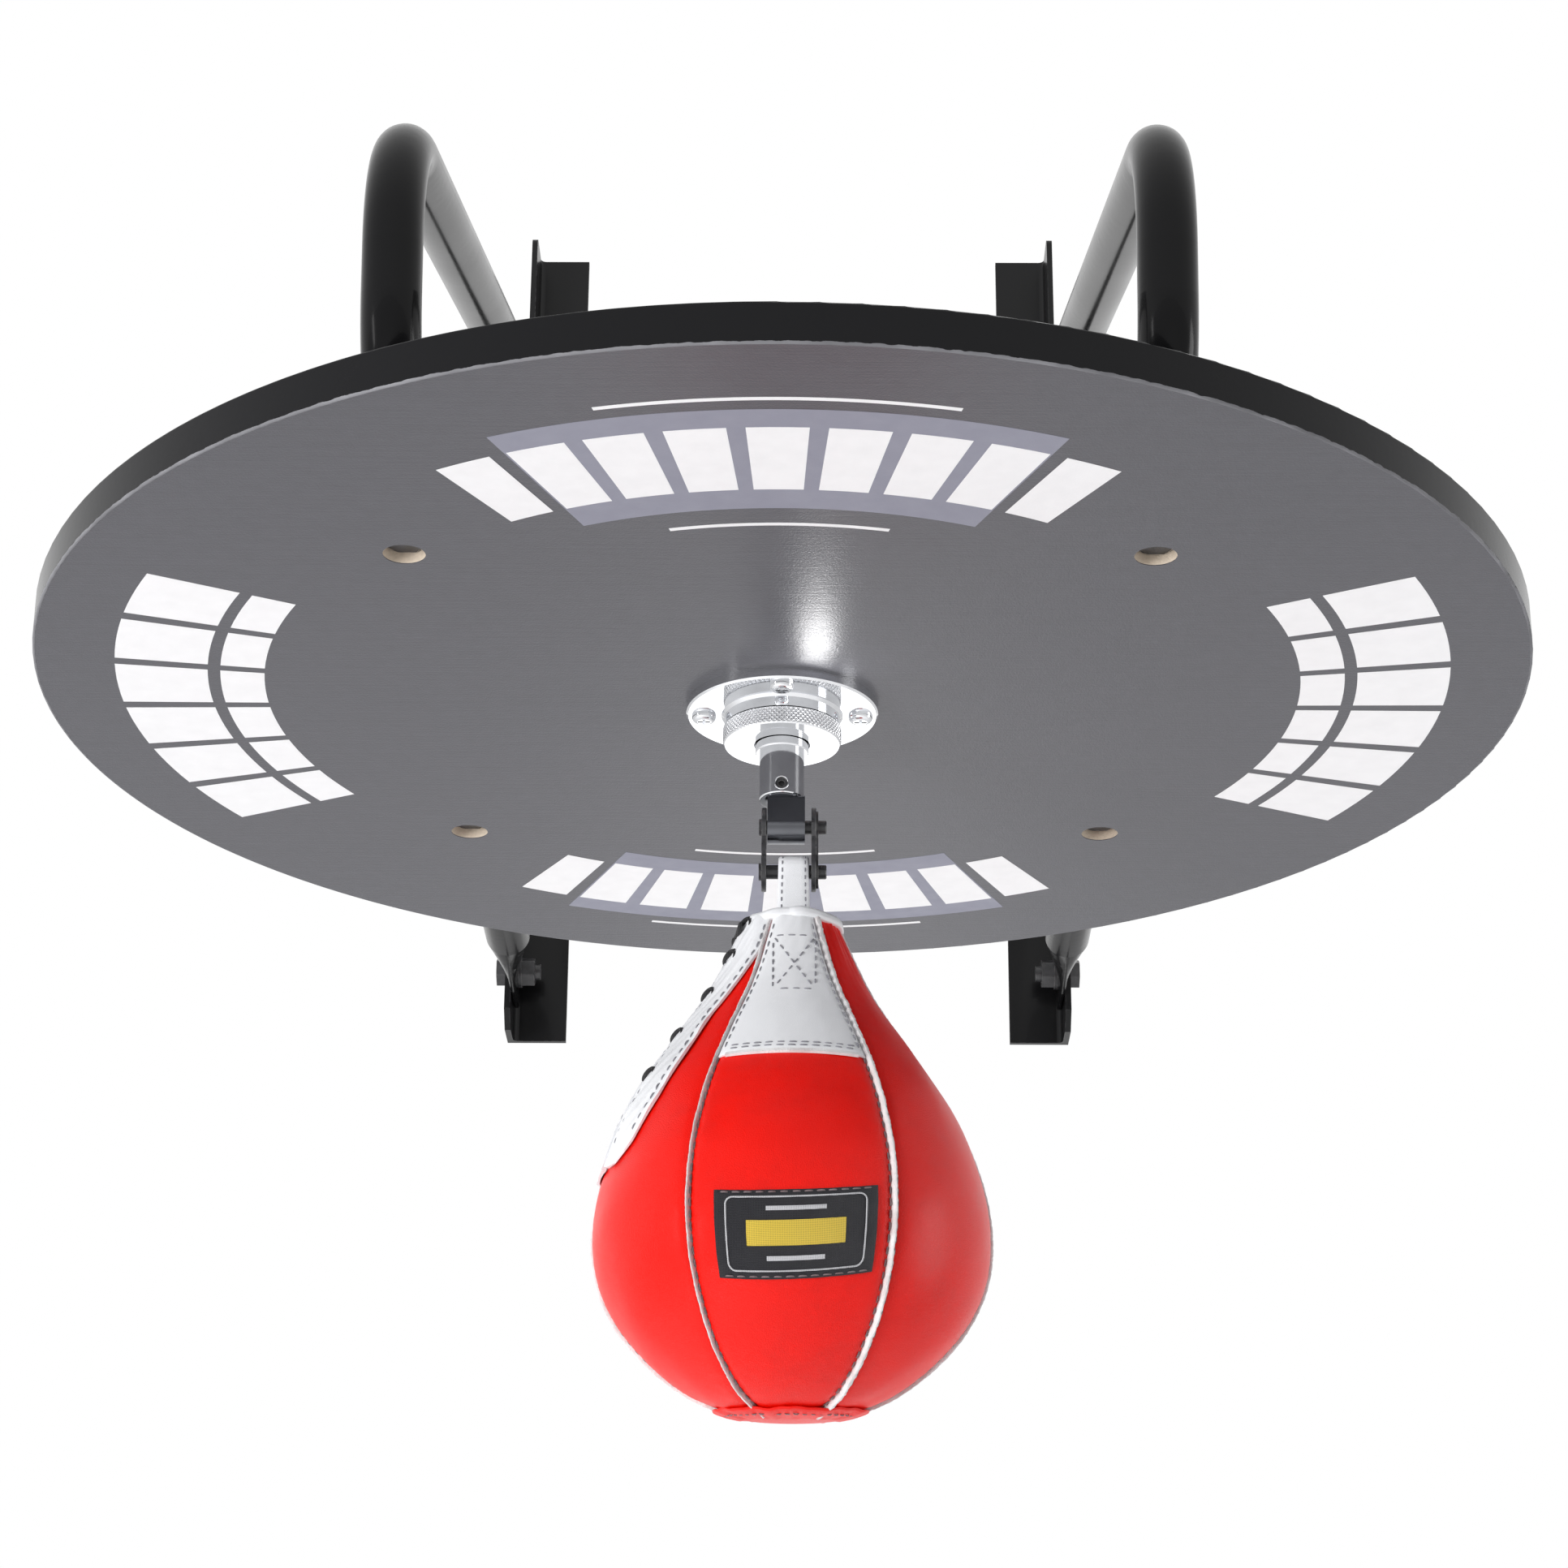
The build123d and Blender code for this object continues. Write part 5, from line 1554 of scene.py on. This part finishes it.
@dataclass
class Studio:
    """Pale floor, white surroundings, soft lamps and the camera."""

    floor_height: float = -1.5
    floor_reach: float = 40.0
    floor_lift: float = 0.42
    soft_light: float = 0.38
    lens: float = 82.85
    eye: Vec3 = (0.0127, -1.3463, -0.5876)
    pitch: float = 22.345
    yaw: float = -0.504
    roll: float = 0.366

    def build(self) -> None:
        """Set up everything round the object."""
        bpy.context.scene.view_settings.view_transform = "Standard"
        self.world()
        self.floor()
        self.lamps()
        self.camera()

    @staticmethod
    def seen(graph: Graph) -> bpy.types.NodeSocket:
        """1 for what the camera, a mirror or glass looks at, and 0 for light on matt surfaces."""
        path = graph.node("LightPath").outputs
        through = graph.math("MAXIMUM", path["Is Camera Ray"], path["Is Transmission Ray"])
        return graph.math("MAXIMUM", through, path["Is Glossy Ray"])

    def world(self) -> None:
        """White surroundings for the camera and reflections, softer light for matt surfaces."""
        world = bpy.data.worlds.new("studio")
        bpy.context.scene.world = world
        world.use_nodes = True
        world.node_tree.nodes.clear()
        graph = Graph(world.node_tree)
        soft = graph.node("Background", {"Color": (1.0, 1.0, 1.0, 1.0), "Strength": self.soft_light})
        white = graph.node("Background", {"Color": (1.0, 1.0, 1.0, 1.0), "Strength": 1.0})
        both = graph.node("MixShader", {0: self.seen(graph), 1: soft.outputs[0], 2: white.outputs[0]})
        graph.node("OutputWorld", {"Surface": both.outputs[0]})

    def floor(self) -> None:
        """A wide pale floor that keeps the object's shadow."""
        mesh = bpy.data.meshes.new("studio_floor")
        size = self.floor_reach
        mesh.from_pydata([(-size, -size, self.floor_height), (size, -size, self.floor_height),
                          (size, size, self.floor_height), (-size, size, self.floor_height)], [], [(0, 1, 2, 3)])
        floor = bpy.data.objects.new("studio_floor", mesh)
        bpy.context.scene.collection.objects.link(floor)
        material = bpy.data.materials.new("floor_paint")
        material.use_nodes = True
        material.node_tree.nodes.clear()
        graph = Graph(material.node_tree)
        paint = graph.node("BsdfDiffuse", {"Color": (0.83, 0.83, 0.84, 1.0)})
        pale = graph.node("Emission", {"Color": (1.0, 1.0, 1.0, 1.0), "Strength": self.floor_lift})
        lit = graph.node("AddShader", {0: paint.outputs[0], 1: pale.outputs[0]})
        both = graph.node("MixShader", {0: self.seen(graph), 1: paint.outputs[0], 2: lit.outputs[0]})
        graph.node("OutputMaterial", {"Surface": both.outputs[0]})
        mesh.materials.append(material)

    def lamp(self, name: str, place: Vec3, target: Vec3, size: tuple[float, float], power: float,
             mirrored: bool = True) -> None:
        """Hang a rectangular soft lamp.

        Args:
            name: its name.
            place: where it hangs.
            target: where it points.
            size: its width and height in metres.
            power: its power in watts.
            mirrored: whether shiny surfaces show it.
        """
        data = bpy.data.lights.new(name, "AREA")
        data.shape = "RECTANGLE"
        data.size, data.size_y = size
        data.energy = power
        made = bpy.data.objects.new(name, data)
        made.location = place
        made.rotation_euler = (Vector(target) - Vector(place)).to_track_quat("-Z", "Y").to_euler()
        made.visible_glossy = mirrored
        made.visible_camera = False
        bpy.context.scene.collection.objects.link(made)

    def lamps(self) -> None:
        """A broad key from the front left, strips at both sides, and small lamps for sheen on board and chrome."""
        bag = (float(BAG_CENTRE[0]), float(BAG_CENTRE[1]), float(BAG_CENTRE[2]))
        self.lamp("key", (-1.75, -2.0, -0.6), bag, (1.0, 1.2), 50.0, mirrored=False)
        self.lamp("left_strip", (-1.9, -1.5, -0.5), bag, (0.25, 0.6), 2.2)
        self.lamp("right_strip", (1.5, -0.5, -0.44), bag, (0.5, 0.9), 5.5)
        self.lamp("top", (0.0, -0.9, 1.5), (0.0, -0.4, 0.0), (1.8, 1.4), 14.0, mirrored=False)
        self.lamp("back_card", (0.02, 1.3, -0.98), (0.0, -0.42, -0.22), (0.34, 0.34), 0.42)
        self.lamp("fill", (0.0, -0.05, -1.45), (0.0, -0.42, 0.0), (1.6, 1.6), 10.5, mirrored=False)
        glint = (0.014, float(BOARD_CENTRE[1]) - 0.029, BOARD_UNDER - 0.017)
        self.lamp("glint", glint, (0.016, float(BOARD_CENTRE[1]) - 0.09, BOARD_UNDER), (0.012, 0.012), 0.009)

    def camera(self) -> None:
        """The camera, below and in front of the board, looking up at it."""
        data = bpy.data.cameras.new("view")
        data.lens = self.lens
        data.sensor_width = 36.0
        made = bpy.data.objects.new("view", data)
        yaw, pitch, roll = (math.radians(a) for a in (self.yaw, self.pitch, self.roll))
        forward = Vector((math.sin(yaw) * math.cos(pitch), math.cos(yaw) * math.cos(pitch), math.sin(pitch)))
        right = Vector((math.cos(yaw), -math.sin(yaw), 0.0))
        up = right.cross(forward)
        across = right * math.cos(roll) + up * math.sin(roll)
        upright = up * math.cos(roll) - right * math.sin(roll)
        origin = Vector((float(BOARD_CENTRE[0]), float(BOARD_CENTRE[1]), BOARD_UNDER))
        matrix = Matrix((across, upright, -forward)).transposed().to_4x4()
        matrix.translation = origin + Vector(self.eye)
        made.matrix_world = matrix
        bpy.context.scene.collection.objects.link(made)
        bpy.context.scene.camera = made


def main() -> None:
    """Build the studio and the object, in order."""
    logging.basicConfig(level=logging.INFO, format="%(message)s")
    maker = Maker(Workshop())
    Studio().build()
    WallFrame(maker).build()
    Board(maker).build()
    Swivel(maker).build()
    SpeedBag(maker).build()


if __name__ == "__main__":
    main()
